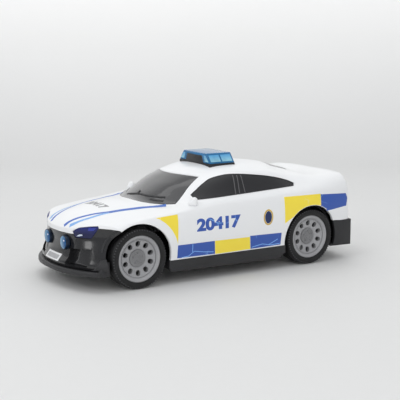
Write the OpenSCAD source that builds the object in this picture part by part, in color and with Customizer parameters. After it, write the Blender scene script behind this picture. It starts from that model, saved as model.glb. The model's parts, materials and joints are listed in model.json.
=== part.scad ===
// Toy patrol car: hollow moulded shell on a chassis, friction drive, press-down light bar.
// +X points forward, +Y to the car's left, +Z up. The origin is on the ground at the middle of the car.

/* [Wheels] */
// Distance between the two axles
wheelbase = 132.4; // [128:0.2:136]
// Outside diameter of a tyre
tyre_d = 38; // [37:0.2:39]
// Width of a tyre
tyre_w = 14; // [12:0.2:15]
// Depth of the two grooves in the tread
groove_depth = 0.7; // [0.3:0.1:1.2]
// Height of a tyre's side wall
tyre_wall = 4.3; // [3.6:0.1:5]
// How far the rims' outer edges lie inside the body's widest line
rim_inset = 2; // [1.4:0.1:2.6]
// How far the rim's face is dished in
rim_dish = 3; // [2:0.1:4]
// Number of oval openings in a rim
rim_holes = 10; // [6:1:12]
// Diameter of the recessed hub disc
hub_disc_d = 11.5; // [9:0.1:13]
// Diameter of the axles
axle_d = 3; // [2.4:0.1:3.4]
// Radial room of a shaft in its bearing
running_gap = 0.08; // [0.03:0.01:0.1]
// Room between a tyre and its wheel opening
arch_gap = 3; // [2.6:0.1:4]

/* [Body] */
// How far the hood's front edge lies ahead of the front tyres
nose_out = 16.8; // [15:0.2:18]
// How far the tail's rear edge lies behind the rear tyres
tail_out = 19.8; // [18:0.2:21]
// Half of the body's greatest width
half_w = 47; // [46.5:0.1:48.5]
// How far the nose runs back from the middle to the corners
nose_bow = 22; // [20:0.5:24]
// How far the tail runs forward from the middle to the corners
tail_bow = 4.5; // [3:0.5:8]
// Height of the shell's lower edge at the doors
sill_z = 15.5; // [14.6:0.1:16.2]
// Height of the shell's lower edge at the nose
lip_z = 34; // [33:0.2:35]
// Height of the shell's lower edge at the tail
tail_lip_z = 28; // [26:0.2:30]
// Height of the hood's front edge
nose_z = 36.8; // [36:0.2:38]
// Height of the hood at the windscreen
cowl_z = 50; // [49:0.2:51]
// Height of the window line at the doors
waist_z = 52; // [51:0.2:53]
// Height of the roof
roof_z = 70.3; // [69:0.1:71]
// Height of the tail's upper edge
tail_z = 60.2; // [58:0.2:61]
// Wall of the shell
wall = 1.8; // [1.4:0.1:2.2]
// How far the panes lie below the shell's surface
pane_inset = 0.35; // [0.2:0.05:0.6]
// Thickness of the window moulding
pane_t = 1.2; // [0.8:0.1:1.6]
// Room around a piece that sits in an opening
fit_gap = 0.2; // [0.1:0.05:0.3]

/* [Chassis] */
// How far the floor's underside lies below the axles
floor_drop = 9; // [8.4:0.2:9.6]
// Thickness of the floor
floor_t = 1.6; // [1.2:0.1:2]
// How far the splitter lip stands out ahead of the hood
splitter_out = 5; // [4:0.1:6]
// Height of the splitter lip
splitter_h = 3; // [2:0.1:3.2]
// How far the rear bumper stands out behind the tail
bumper_out = 2; // [1:0.1:3]
// Wall of the fascia and of the bumper
skin = 2.2; // [1.6:0.1:2.6]
// Diameter of the chassis screws
screw_d = 2.4; // [2:0.1:2.8]
// Diameter of a screw's head
head_d = 4.6; // [4:0.1:5]
// Height of a screw's head
head_h = 1.5; // [1:0.1:1.8]
// Diameter of the posts that take the screws
post_d = 6.4; // [6:0.1:7]

/* [Lamps] */
// Diameter of the round lamps on the fascia
round_lamp_d = 9; // [8:0.1:10]
// How far a round lamp bulges out
round_lamp_bulge = 1; // [0.6:0.1:2]
// Distance of the round lamps from the middle plane
round_lamp_y = 12.2; // [11:0.1:13]
// Height of the round lamps
round_lamp_z = 27.8; // [27:0.1:28.4]
// Depth of the headlamp and tail lamp lenses
lens_depth = 4; // [3:0.1:5]

/* [Light bar] */
// Width of the light bar across the car
bar_w = 39; // [36:0.2:40]
// Length of the light bar along the car
bar_l = 20; // [18:0.2:21]
// Front face of the light bar, from the middle of the wheelbase
bar_front_x = -1.2; // [-3:0.1:0]
// Height of the light bar above the roof
bar_h = 6.7; // [5.7:0.1:7.7]
// Height of the black base above the roof, where the blue lens starts
bar_base_h = 0.1; // [0:0.05:0.5]
// Width of one blue end of the light bar
bar_end_w = 9; // [8:0.1:9.6]
// How far each end leans in towards the top
bar_lean = 5.3; // [4:0.1:6]
// Wall of the light bar's mouldings
bar_wall = 1.3; // [1:0.1:1.6]
// How far the light bar can be pressed down
press_travel = 1.2; // [0.8:0.1:1.4]
// Wire of the return spring
spring_wire = 0.5; // [0.4:0.05:0.6]

/* [Friction drive] */
// Module of the gears
gear_module = 0.5; // [0.45:0.01:0.52]
// Teeth of the large gears
gear_teeth = 28; // [26:1:29]
// Teeth of the pinions
pinion_teeth = 14; // [13:1:15]
// Width of a gear
gear_w = 3; // [2.4:0.1:3.2]
// Diameter of the flywheel
flywheel_d = 20; // [18:0.5:21]
// Thickness of the flywheel
flywheel_t = 5; // [4:0.1:6]
// Diameter of the idler and flywheel shafts
shaft_d = 2; // [1.6:0.1:2.2]

/* [Electrics] */
// Diameter of a button cell
cell_d = 11.6; // [11:0.1:12]
// Height of a button cell
cell_h = 5.4; // [5:0.1:5.6]
// Diameter of the speaker
speaker_d = 28; // [26:0.5:29]
// Height of the speaker
speaker_h = 5; // [4:0.1:6]
// Travel of the power switch
switch_travel = 3; // [2:0.1:3.4]

/* [Hidden] */
$fn = 64;

front_x = wheelbase / 2;
rear_x = -wheelbase / 2;
nose_x = front_x + tyre_d / 2 + nose_out;
tail_x = -rear_x + tyre_d / 2 + tail_out;
splitter_x = nose_x + splitter_out;
axle_z = tyre_d / 2;
arch_r = tyre_d / 2 + arch_gap;
rim_d = tyre_d - 2 * tyre_wall;
rim_face_y = half_w - rim_inset;
floor_z = axle_z - floor_drop;
floor_top = floor_z + floor_t;
bar_top_z = roof_z + bar_h;
bar_lens_z = roof_z + bar_base_h;
seat_gap = 0.05;
cut = 1;
far = 200;
well_r = arch_r - 0.6;
well_t = 1;
band_half = half_w - 2;
bracket_y = band_half - 1.6;
// Shares by which places across and along the car follow its width and its wheelbase
spread = half_w / 47;
stretch = wheelbase / 132.4;

// Places of the friction drive's shafts: the axle gear drives the idler, the idler the flywheel
pressure = 20;
addendum = 0.8 * gear_module;
dedendum = 1.05 * gear_module;
backlash = 0.05;
gear_r = gear_teeth * gear_module / 2;
pinion_r = pinion_teeth * gear_module / 2;
gear_reach = gear_r + pinion_r;
gear_y = 1;
gear_recess = 0.9;
idler_angle = 35;
flywheel_angle = -5;
idler_x = rear_x + gear_reach * cos(idler_angle);
idler_z = axle_z + gear_reach * sin(idler_angle);
flywheel_x = idler_x + gear_reach * cos(flywheel_angle);
flywheel_z = idler_z + gear_reach * sin(flywheel_angle);

// Smooth curve through rows: Hermite pieces whose slopes are taken from the neighbours
function row_slope(v, k, i) =
    let (a = max(i - 1, 0), b = min(i + 1, len(v) - 1)) (v[b] - v[a]) / (k[b] - k[a]);
function row_index(k, t, i = 0) =
    (i >= len(k) - 2 || (k[0] < k[1] ? t <= k[i + 1] : t >= k[i + 1])) ? i : row_index(k, t, i + 1);
function smooth(v, k, t) =
    let (
        i = row_index(k, t),
        h = k[i + 1] - k[i],
        u = (t - k[i]) / h,
        m0 = row_slope(v, k, i) * h,
        m1 = row_slope(v, k, i + 1) * h
    )
    v[i] * (2 * u ^ 3 - 3 * u ^ 2 + 1) + m0 * (u ^ 3 - 2 * u ^ 2 + u)
        + v[i + 1] * (3 * u ^ 2 - 2 * u ^ 3) + m1 * (u ^ 3 - u ^ 2);

// Guide stations of the body: place along the car, then half a section from the sill to the crown,
// as [half width, height] of the sill, side, shoulder, waist, rail and crown
windscreen_x = 47.5 * stretch;
roof_front_x = 17 * stretch;
stations = [
    [nose_x, [[half_w - 1.6, lip_z + 0.4], [half_w - 1.8, lip_z + 2.6], [half_w - 2.7, lip_z + 5],
        [half_w - 9.5, lip_z + 6.8], [22 * spread, nose_z + 0.8], [0, nose_z]]],
    [nose_x - 4, [[half_w - 1.5, lip_z - 2], [half_w - 1.3, lip_z + 2], [half_w - 2.4, lip_z + 6.2],
        [half_w - 8, nose_z + 5.2], [24 * spread, nose_z + 3.6], [0, nose_z + 3.6]]],
    [nose_x - 12, [[half_w - 1.5, sill_z], [half_w - 0.6, lip_z - 1], [half_w - 2, lip_z + 8],
        [half_w - 7, nose_z + 6.5], [26 * spread, nose_z + 6.3], [0, nose_z + 7.2]]],
    [nose_x - 26, [[half_w - 1.8, sill_z], [half_w - 0.3, lip_z - 3], [half_w - 1.8, cowl_z - 6],
        [half_w - 6.4, cowl_z - 4.6], [27.5 * spread, cowl_z - 4], [0, cowl_z - 2.6]]],
    [nose_x - 42, [[half_w - 1.8, sill_z], [half_w - 0.2, lip_z - 4], [half_w - 1.6, cowl_z - 4.6],
        [half_w - 6, cowl_z - 2.2], [29 * spread, cowl_z - 1.8], [0, cowl_z - 0.7]]],
    [windscreen_x, [[half_w - 1.8, sill_z], [half_w, lip_z - 4], [half_w - 1.6, cowl_z - 3.4],
        [half_w - 6.2, cowl_z], [30 * spread, cowl_z - 0.2], [0, cowl_z]]],
    [windscreen_x - 9, [[half_w - 1.8, sill_z], [half_w, lip_z - 4], [half_w - 1.5, waist_z - 5],
        [half_w - 5.8, waist_z - 1], [30 * spread, cowl_z + 3.8], [0, cowl_z + 5]]],
    [windscreen_x - 19, [[half_w - 1.8, sill_z], [half_w, lip_z - 4], [half_w - 1.4, waist_z - 4.6],
        [half_w - 5.4, waist_z - 0.6], [30 * spread, roof_z - 11.7], [0, roof_z - 9.8]]],
    [roof_front_x, [[half_w - 1.8, sill_z], [half_w, lip_z - 4], [half_w - 1.3, waist_z - 4.4],
        [half_w - 5, waist_z - 0.1], [30.5 * spread, roof_z - 8], [0, roof_z - 4.2]]],
    [0, [[half_w - 1.8, sill_z], [half_w, lip_z - 4], [half_w - 1.2, waist_z - 4],
        [half_w - 4.8, waist_z + 0.3], [31.5 * spread, roof_z - 4.7], [0, roof_z - 0.8]]],
    [-20 * stretch, [[half_w - 1.8, sill_z], [half_w, lip_z - 4], [half_w - 1, waist_z - 3.6],
        [half_w - 5, waist_z + 1], [32 * spread, roof_z - 4.2], [0, roof_z]]],
    [-40 * stretch, [[half_w - 1.8, sill_z], [half_w + 0.2, lip_z - 4], [half_w - 0.9, waist_z - 2.8],
        [half_w - 5.2, waist_z + 1.8], [32 * spread, roof_z - 5.4], [0, roof_z - 0.9]]],
    [-55 * stretch, [[half_w - 1.7, sill_z], [half_w + 0.3, lip_z - 4], [half_w - 0.7, waist_z - 2.2],
        [half_w - 5.6, waist_z + 2.5], [31.2 * spread, roof_z - 8.6], [0, roof_z - 2.9]]],
    [-66 * stretch, [[half_w - 1.6, sill_z], [half_w + 0.4, lip_z - 3], [half_w - 0.7, waist_z - 1.8],
        [half_w - 6.2, waist_z + 3.3], [31.2 * spread, tail_z + 0.2], [0, tail_z + 3.9]]],
    [-77 * stretch, [[half_w - 1.6, tail_lip_z - 6], [half_w, lip_z - 1], [half_w - 1.1, waist_z - 1.6],
        [half_w - 6.6, waist_z + 4.2], [31.8 * spread, tail_z - 1], [0, tail_z - 0.7]]],
    [-87 * stretch, [[half_w - 1.6, tail_lip_z], [half_w - 0.5, lip_z + 2], [half_w - 1.7, waist_z - 1.4],
        [half_w - 6.7, waist_z + 4.8], [32.4 * spread, tail_z - 1], [0, tail_z - 1.2]]],
    [-tail_x + 7, [[half_w - 2, tail_lip_z], [half_w - 1.9, lip_z + 4], [half_w - 2.9, waist_z - 1.6],
        [half_w - 7, waist_z + 5.2], [32.6 * spread, tail_z - 0.2], [0, tail_z]]],
    [-tail_x + 1.2, [[half_w - 2.8, tail_lip_z], [half_w - 2.9, lip_z + 4], [half_w - 4, waist_z - 2],
        [half_w - 8, waist_z + 4.6], [32 * spread, tail_z - 0.9], [0, tail_z - 0.6]]],
    [-tail_x, [[half_w - 3.4, tail_lip_z + 0.4], [half_w - 3.6, lip_z + 4], [half_w - 5, waist_z - 2.4],
        [half_w - 9, waist_z + 3.6], [31 * spread, tail_z - 1.9], [0, tail_z - 1.6]]]
];
station_x = [for (r = stations) r[0]];
station_pts = [for (r = stations) r[1]];

// Half a section at station s: a smooth curve through its six guide points, steps per piece given
function chord_sums(p, i = 0, t = 0) =
    i >= len(p) ? [] : concat([t], chord_sums(p, i + 1, i + 1 < len(p) ? t + norm(p[i + 1] - p[i]) : t));
function half_section(s, steps) =
    let (
        p = smooth(station_pts, station_x, s),
        q = concat(p, [[-p[4][0], p[4][1]]]),
        k = chord_sums(q)
    )
    concat([for (i = [0:4]) for (j = [0:steps[i] - 1])
        smooth(q, k, k[i] + (k[i + 1] - k[i]) * j / steps[i])], [p[5]]);
function mirrored(h) = [for (i = [1:len(h) - 1]) let (p = h[len(h) - 1 - i]) [-p[0], p[1]]];
function section(s, steps) = let (h = half_section(s, steps)) concat(h, mirrored(h));
// The section moved in by d along its own normals
function inset_section(c, d) =
    [for (i = [0:len(c) - 1])
        let (t = c[min(i + 1, len(c) - 1)] - c[max(i - 1, 0)]) c[i] + d * [-t[1], t[0]] / norm(t)];

// Stations are bowed in plan: the nose and the tail run towards the middle at the corners
bow_power = 2.3;
bow_start = 20 * stretch;
bow_end = -35 * stretch;
tail_bow_start = -55 * stretch;
function ease(u) = let (v = max(0, min(1, u))) v * v * (3 - 2 * v);
function bow_share(y) = (abs(y) / band_half) ^ bow_power;
function bowed(s, y) =
    s - nose_bow * ease((s - bow_end) / (bow_start - bow_end)) * bow_share(y)
        + tail_bow * ease((tail_bow_start - s) / (tail_x + tail_bow_start)) * bow_share(y);

// The body as a solid, moved in by d, with its lower edge dropped by drop
fine_steps = [2, 2, 3, 4, 5];
fine_pitch = 6.5;
coarse_steps = [1, 1, 2, 2, 3];
coarse_pitch = 12;
function sampled(pitch, d) =
    concat([for (i = [0:len(station_x) - 2])
        let (a = station_x[i], b = station_x[i + 1], n = ceil((a - b) / pitch))
        for (j = [0:n - 1]) max(min(a + (b - a) * j / n, nose_x - d), -tail_x + d)], [-tail_x + d]);
function distinct(l) = [for (i = [0:len(l) - 1]) if (i == 0 || l[i] < l[i - 1] - 0.05) l[i]];
module body_solid(d = 0, drop = 0, steps = fine_steps, pitch = fine_pitch) {
    xs = distinct(sampled(pitch, d));
    sections = [for (s = xs) inset_section(section(s, steps), d)];
    n = len(sections[0]);
    last = len(xs) - 1;
    nose_ring = [for (p = sections[0]) [bowed(xs[0], p[0]), p[0], lip_z - drop]];
    tail_ring = [for (p = sections[last]) [bowed(xs[last], p[0]), p[0], tail_lip_z - drop]];
    rings = concat([nose_ring],
        [for (i = [0:last]) [for (j = [0:n - 1]) let (p = sections[i][j])
            [bowed(xs[i], p[0]), p[0], p[1] - (j == 0 || j == n - 1 ? drop : 0)]]],
        [tail_ring]);
    m = len(rings);
    points = [for (r = rings) each r];
    sides = [for (i = [0:m - 2]) for (j = [0:n - 1])
        let (a = i * n + j, b = i * n + (j + 1) % n) each [[a, b, b + n], [a, b + n, a + n]]];
    polyhedron(points, concat(sides, [[for (j = [n - 1:-1:0]) j]],
        [[for (j = [0:n - 1]) (m - 1) * n + j]]));
}

// The hollow inside the shell, and surfaces just inside that hollow
module body_hollow(extra = 0) body_solid(wall + extra, 14, coarse_steps, coarse_pitch);

// Wheel openings across the whole car
module arch_cut(r) {
    for (x = [front_x, rear_x]) translate([x, 0, axle_z]) rotate([90, 0, 0])
        cylinder(r = r, h = far, center = true);
}

// Window outlines: the side pane seen from the side, the windscreen and the rear pane seen from above
side_top = [[23.2 * stretch, waist_z + 1.9], [19.4 * stretch, roof_z - 14], [12.6 * stretch, roof_z - 10.2],
    [4 * stretch, roof_z - 6.9], [-10 * stretch, roof_z - 5.2], [-34 * stretch, roof_z - 7.7],
    [-50 * stretch, roof_z - 11.3], [-56.5 * stretch, waist_z + 4.2]];
side_front_low = [22.2 * stretch, waist_z - 1];
side_rear_low = [-54.8 * stretch, waist_z + 2.4];
side_steps = 3;
function side_outline() =
    let (last = len(side_top) - 1)
    concat([side_front_low],
        [for (i = [0:last * side_steps]) smooth(side_top, [for (p = [0:last]) p], i / side_steps)],
        [side_rear_low]);
function windscreen_edge(x0, y0, x1, n) =
    [for (i = [-n:n]) let (y = y0 * i / n) [x0 - (x0 - x1) * (abs(i) / n) ^ bow_power, y]];
screen_low_x = windscreen_x + 2.7;
screen_low_y = 37.2 * spread;
screen_low_corner_x = 36.7 * stretch;
screen_top_y = 25.1 * spread;
screen_top_corner_x = 10.8 * stretch;
function windscreen_outline() =
    concat(windscreen_edge(screen_low_x, screen_low_y, screen_low_corner_x, 6),
        windscreen_edge(roof_front_x + 3, -screen_top_y, screen_top_corner_x, 4));
rear_pane_top_x = -51 * stretch;
rear_pane_low_x = -76 * stretch;
rear_pane_top_y = 20 * spread;
rear_pane_low_y = 26 * spread;
function rear_pane_outline() =
    let (corner_x = rear_pane_low_x + 3)
    [[rear_pane_top_x, rear_pane_top_y], [rear_pane_top_x - 1.5, 0], [rear_pane_top_x, -rear_pane_top_y],
        [corner_x, -rear_pane_low_y], [rear_pane_low_x, 0], [corner_x, rear_pane_low_y]];
module window_cut(gap = 0) {
    rotate([90, 0, 0]) linear_extrude(far, center = true) offset(delta = -gap) polygon(side_outline());
    translate([0, 0, cowl_z - 4]) linear_extrude(far) offset(delta = -gap) polygon(windscreen_outline());
    translate([0, 0, cowl_z + 4]) linear_extrude(far) offset(delta = -gap) polygon(rear_pane_outline());
}

// Bands that follow the nose or the tail in plan, from front setback a to setback b
band_steps = 16;
function nose_curve(x, a, bow) =
    [for (i = [-band_steps:band_steps])
        let (y = band_half * i / band_steps) [x - a - bow * bow_share(y), y]];
function back_to_front(l) = [for (i = [len(l) - 1:-1:0]) l[i]];
module nose_band(a, b) {
    linear_extrude(far)
        polygon(concat(nose_curve(nose_x, a, nose_bow), back_to_front(nose_curve(nose_x, b, nose_bow))));
}
module tail_band(a, b) {
    linear_extrude(far)
        polygon(concat(nose_curve(-tail_x, -a, -tail_bow),
            back_to_front(nose_curve(-tail_x, -b, -tail_bow))));
}

// Outlines seen from the front, as [distance from the middle on the standard width, height]
headlamp_outline = [[19, lip_z + 1.6], [19.9, lip_z - 0.6], [21.3, lip_z - 1.9], [31.6, lip_z - 1.6],
    [33.4, lip_z + 1.7], [35.4, lip_z + 5.2], [35.1, lip_z + 6.2], [30.2, lip_z + 5.5], [23.5, lip_z + 4.2]];
tail_lamp_outline = [[16, waist_z - 5], [41, waist_z - 6], [41.6, waist_z - 0.8], [16, waist_z - 0.8]];
module lamp_prism(outline, gap) {
    rotate([90, 0, 90]) linear_extrude(far * 2, center = true) offset(delta = gap)
        polygon([for (p = outline) [p[0] * spread, p[1]]]);
}
lens_setback = 0.3;
module headlamp(side) {
    intersection() {
        nose_band(lens_setback, lens_depth);
        mirror([0, side < 0 ? 1 : 0, 0]) lamp_prism(headlamp_outline, 0);
    }
}
module headlamp_left() color("midnightblue") headlamp(1);
module headlamp_right() color("midnightblue") headlamp(-1);
module lamp_openings() {
    for (m = [0, 1]) mirror([0, m, 0]) {
        intersection() {
            nose_band(-cut, lens_depth + fit_gap);
            lamp_prism(headlamp_outline, fit_gap);
        }
        intersection() {
            tail_band(-cut, lens_depth + fit_gap);
            lamp_prism(tail_lamp_outline, fit_gap);
        }
    }
}
module tail_lamp(side) {
    intersection() {
        tail_band(lens_setback, lens_depth);
        mirror([0, side < 0 ? 1 : 0, 0]) lamp_prism(tail_lamp_outline, 0);
    }
}
module tail_lamp_left() color("firebrick") tail_lamp(1);
module tail_lamp_right() color("firebrick") tail_lamp(-1);

// Corners beside the headlamps where the fascia rises above the hood's lip: outline seen from the side
corner_x = front_x + 12.5;
corner_h = 5.1;
corner_y = 32.6 * spread;
corner_outline = [[corner_x, lip_z - 8], [corner_x, lip_z + 3.4], [corner_x + 1.3, lip_z + 4.1],
    [corner_x + 5.3, lip_z + 4.7], [corner_x + 13.3, lip_z + corner_h], [far, lip_z + corner_h],
    [far, lip_z - 8]];
module corner_blocks(gap) {
    for (m = [0, 1]) mirror([0, m, 0]) translate([0, far, 0]) rotate([90, 0, 0])
        linear_extrude(far - corner_y - gap) offset(delta = -gap) polygon(corner_outline);
}

// Screw posts that hang from the shell and meet the chassis posts
post_h = 8;
post_top_z = floor_z + post_h;
front_post = [nose_x - 10, 15 * spread];
rear_post = [rear_x - well_r - well_t - post_d / 2 - 1.2, 26 * spread];
body_posts = [for (p = [front_post, rear_post]) for (m = [1, -1]) [p[0], m * p[1]]];
board_margin = 9;
board_posts = [[bar_front_x + board_margin, 0], [bar_front_x - bar_l - board_margin, 0]];
board_z = roof_z - 14.3;
board_t = 1.2;
board_post_d = 5;
board_screw_d = 1.8;
module body_post_solids() {
    for (p = body_posts) translate([p[0], p[1], post_top_z + seat_gap]) cylinder(d = post_d, h = far);
    for (p = board_posts) translate([p[0], p[1], board_z + board_t]) cylinder(d = board_post_d, h = far);
}
screw_grip = 7;
module body_post_bores() {
    for (p = body_posts) translate([p[0], p[1], post_top_z - cut])
        cylinder(d = screw_d, h = screw_grip + cut);
    for (p = board_posts) translate([p[0], p[1], board_z]) cylinder(d = board_screw_d, h = screw_grip);
}

// Opening in the roof that the light bar passes through
bar_mid_x = bar_front_x - bar_l / 2;
bar_gap = 0.35;
module bar_prism(gap, z0, h) {
    translate([bar_mid_x - bar_l / 2 - gap, -bar_w / 2 - gap, z0])
        cube([bar_l + 2 * gap, bar_w + 2 * gap, h]);
}

// Door mirror: a rounded bulge at the front corner of the side window
mirror_x = 25.4 * stretch;
mirror_z = waist_z - 1.8;
mirror_d = 4.8;
module door_mirror() {
    hull() {
        translate([mirror_x + 3, half_w - 5.4, mirror_z]) sphere(d = mirror_d - 1, $fn = 20);
        translate([mirror_x, half_w - 3.7, mirror_z]) sphere(d = mirror_d, $fn = 20);
        translate([mirror_x + 0.3, half_w - 4, mirror_z + 2]) sphere(d = mirror_d + 0.4, $fn = 20);
    }
}

// Free-form mouldings are joined as one surface at their own size
module moulding() resize([0, 0, 0]) children();

module body_shell() color("whitesmoke") difference() {
    moulding() {
        difference() {
            union() {
                difference() {
                    body_solid();
                    body_hollow();
                }
                intersection() {
                    body_post_solids();
                    body_solid(wall / 2, 0, coarse_steps, coarse_pitch);
                }
            }
            window_cut();
            arch_cut(arch_r);
            lamp_openings();
            corner_blocks(0);
            bar_prism(bar_gap, roof_z - 12, far);
        }
        for (m = [0, 1]) mirror([0, m, 0]) difference() {
            door_mirror();
            body_solid(wall / 2, 0, coarse_steps, coarse_pitch);
        }
    }
    body_post_bores();
}

// One dark moulding behind the shell, with panes that stand up into the window openings
insert_gap = 0.15;
roof_hole_x = [bar_front_x - bar_l - 14, bar_front_x + 14];
roof_hole_y = bar_w / 2 + 4;
module window_insert() color([0.1, 0.1, 0.11]) moulding() difference() {
    union() {
        intersection() {
            body_solid(pane_inset);
            window_cut(fit_gap);
        }
        intersection() {
            body_hollow(insert_gap);
            translate([-far / 2, -far / 2, waist_z - 3.4]) cube(far);
            translate([rear_pane_low_x - 3, -far / 2, 0])
                cube([screen_low_x + 4 - rear_pane_low_x, far, far]);
        }
    }
    body_hollow(insert_gap + pane_t);
    translate([roof_hole_x[0], -roof_hole_y, 0])
        cube([roof_hole_x[1] - roof_hole_x[0], 2 * roof_hole_y, far]);
    for (p = body_posts) translate([p[0], p[1], 0]) cylinder(d = post_d + 2, h = far);
}

// Black nose below the hood: plan outlines at several heights, then recesses and seats
splitter_top = floor_z + splitter_h;
splitter_bow = 15.9;
fascia_low_z = splitter_top + 0.5;
fascia_levels = [
    [fascia_low_z, splitter_x - 2.6, 17],
    [fascia_low_z + 2.4, splitter_x - 1.9, 17.4],
    [fascia_low_z + 6.2, nose_x + 0.4, 19],
    [fascia_low_z + 13, nose_x - 0.8, 20.5],
    [lip_z - 3, nose_x - 0.3, 21.6],
    [lip_z, nose_x, nose_bow],
    [lip_z + corner_h, nose_x, nose_bow]
];
fascia_back_x = front_x + 12;
module fascia_solid(a, ends) {
    levels = [for (i = [0:len(fascia_levels) - 1])
        let (l = fascia_levels[i], e = i == 0 ? -ends : i == len(fascia_levels) - 1 ? ends : 0)
        concat([for (p = nose_curve(l[1], a, l[2])) [p[0], p[1], l[0] + e]],
            [[fascia_back_x, band_half, l[0] + e], [fascia_back_x, -band_half, l[0] + e]])];
    m = len(levels[0]);
    points = [for (l = levels) each l];
    sides = [for (i = [0:len(levels) - 2]) for (j = [0:m - 1])
        let (p = i * m + j, q = i * m + (j + 1) % m) each [[p, p + m, q + m], [p, q + m, q]]];
    polyhedron(points, concat(sides, [[for (j = [0:m - 1]) j]],
        [[for (j = [m - 1:-1:0]) (len(levels) - 1) * m + j]]));
}
intake_outline = [[17.2, fascia_low_z + 1.6], [17.2, fascia_low_z + 11.4], [34, fascia_low_z + 12.6],
    [37, fascia_low_z + 8], [33, fascia_low_z + 1.6]];
intake_depth = 1.5;
// Tabs inside the nose that stand on the floor
fascia_tab_x = front_x + arch_r + 0.3;
fascia_tab_y = 20 * spread;
fascia_tab_w = 5;
fascia_tab_h = 10;
fascia_foot_l = 5;
module fascia_tab() {
    translate([fascia_tab_x, fascia_tab_y, floor_top + seat_gap])
        cube([fascia_foot_l, fascia_tab_w, fascia_low_z - floor_top]);
    intersection() {
        translate([fascia_tab_x, fascia_tab_y, fascia_low_z]) cube([far, fascia_tab_w, fascia_tab_h]);
        fascia_solid(skin / 2, 0);
    }
}
module front_fascia() color([0.2, 0.2, 0.21]) difference() {
    moulding() difference() {
        union() {
            difference() {
                fascia_solid(0, 0);
                for (m = [0, 1]) mirror([0, m, 0]) difference() {
                    lamp_prism(intake_outline, 0);
                    fascia_solid(intake_depth, cut);
                }
                fascia_solid(skin + intake_depth, cut);
                difference() {
                    translate([-far, -far, lip_z - seat_gap]) cube(2 * far);
                    corner_blocks(seat_gap);
                }
            }
            for (m = [0, 1]) mirror([0, m, 0]) fascia_tab();
        }
        arch_cut(arch_r);
        lamp_openings();
        corner_brackets(fit_gap, 2 * cut);
    }
    for (m = [0, 1]) mirror([0, m, 0]) grille_lamp_seat();
}

// Round lamps: domes on a stem that plugs into the fascia
round_lamp_x = nose_x - 2.2;
round_lamp_stem = 5;
module grille_lamp_axis() {
    translate([round_lamp_x, round_lamp_y, round_lamp_z]) rotate([0, 90, 0]) children();
}
module grille_lamp_seat() {
    grille_lamp_axis() {
        cylinder(d = round_lamp_d + 2 * fit_gap, h = far);
        translate([0, 0, -far / 2]) cylinder(d = round_lamp_stem + 2 * seat_gap, h = far);
    }
}
function dome_profile(d, base, bulge) =
    concat([[0, 0], [d / 2, 0]],
        [for (a = [0:9:90]) [d / 2 * cos(a), base + bulge * sin(a)]]);
module grille_lamp() {
    grille_lamp_axis() {
        rotate_extrude() polygon(dome_profile(round_lamp_d, 1.2, round_lamp_bulge));
        translate([0, 0, -4]) cylinder(d = round_lamp_stem, h = 4);
    }
}
module grille_lamp_left() color("steelblue") grille_lamp();
module grille_lamp_right() color("steelblue") mirror([0, 1, 0]) grille_lamp();

// Light bar: a black plug with a flange below the roof, and a clear lens on top
bar_low_z = roof_z - 8.6;
bar_flange = 1.6;
bar_flange_h = 1.6;
bar_core_low = bar_w / 2 - bar_end_w;
bar_core_high = bar_core_low - 2.5;
bar_core_z = bar_top_z - 1.7;
bar_stem_d = 3.6;
bar_stem_z = board_z + board_t + 2 + press_travel + 0.15;
module bar_extrude(outline, inset) {
    translate([bar_mid_x - bar_l / 2 + inset, 0, 0]) rotate([90, 0, 90]) linear_extrude(bar_l - 2 * inset)
        polygon(outline);
}
function bar_outline(w, z0, z1, lean) = [[-w, z0], [w, z0], [w - lean, z1], [-w + lean, z1]];
function between(a, b, z0, z1, z) = a + (b - a) * (z - z0) / (z1 - z0);
function core_half(z) = between(bar_core_low, bar_core_high, bar_lens_z, bar_core_z, z);
function core_outline(z0, z1, gap) =
    let (low = core_half(z0) + gap, high = core_half(z1) + gap)
    [[-low, z0], [low, z0], [high, z1], [-high, z1]];
module lightbar_base() color([0.13, 0.13, 0.14]) {
    difference() {
        union() {
            bar_prism(0, bar_low_z, bar_lens_z - bar_low_z);
            bar_prism(bar_flange, bar_low_z, bar_flange_h);
            bar_extrude(core_outline(bar_lens_z - bar_wall / 2, bar_core_z, 0), 0);
        }
        bar_prism(-bar_wall, bar_low_z - cut, bar_lens_z - bar_wall - bar_low_z + cut);
        for (m = [-1, 1]) translate([bar_mid_x, m * led_y, bar_low_z])
            cylinder(d = led_d + 1, h = bar_top_z - bar_low_z);
    }
    translate([bar_mid_x, 0, bar_stem_z])
        cylinder(d = bar_stem_d, h = bar_lens_z - bar_wall / 2 - bar_stem_z);
}
module lightbar_lens() color([0.3, 0.65, 0.85, 0.7]) difference() {
    bar_extrude(bar_outline(bar_w / 2, bar_lens_z + seat_gap, bar_top_z, bar_lean), 0);
    bar_extrude(core_outline(bar_lens_z - cut, bar_core_z + seat_gap, seat_gap), -cut);
    for (m = [0, 1]) mirror([0, m, 0])
        bar_extrude(cell_outline(bar_lens_z - cut, cell_top_z, 0), bar_wall);
}
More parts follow.
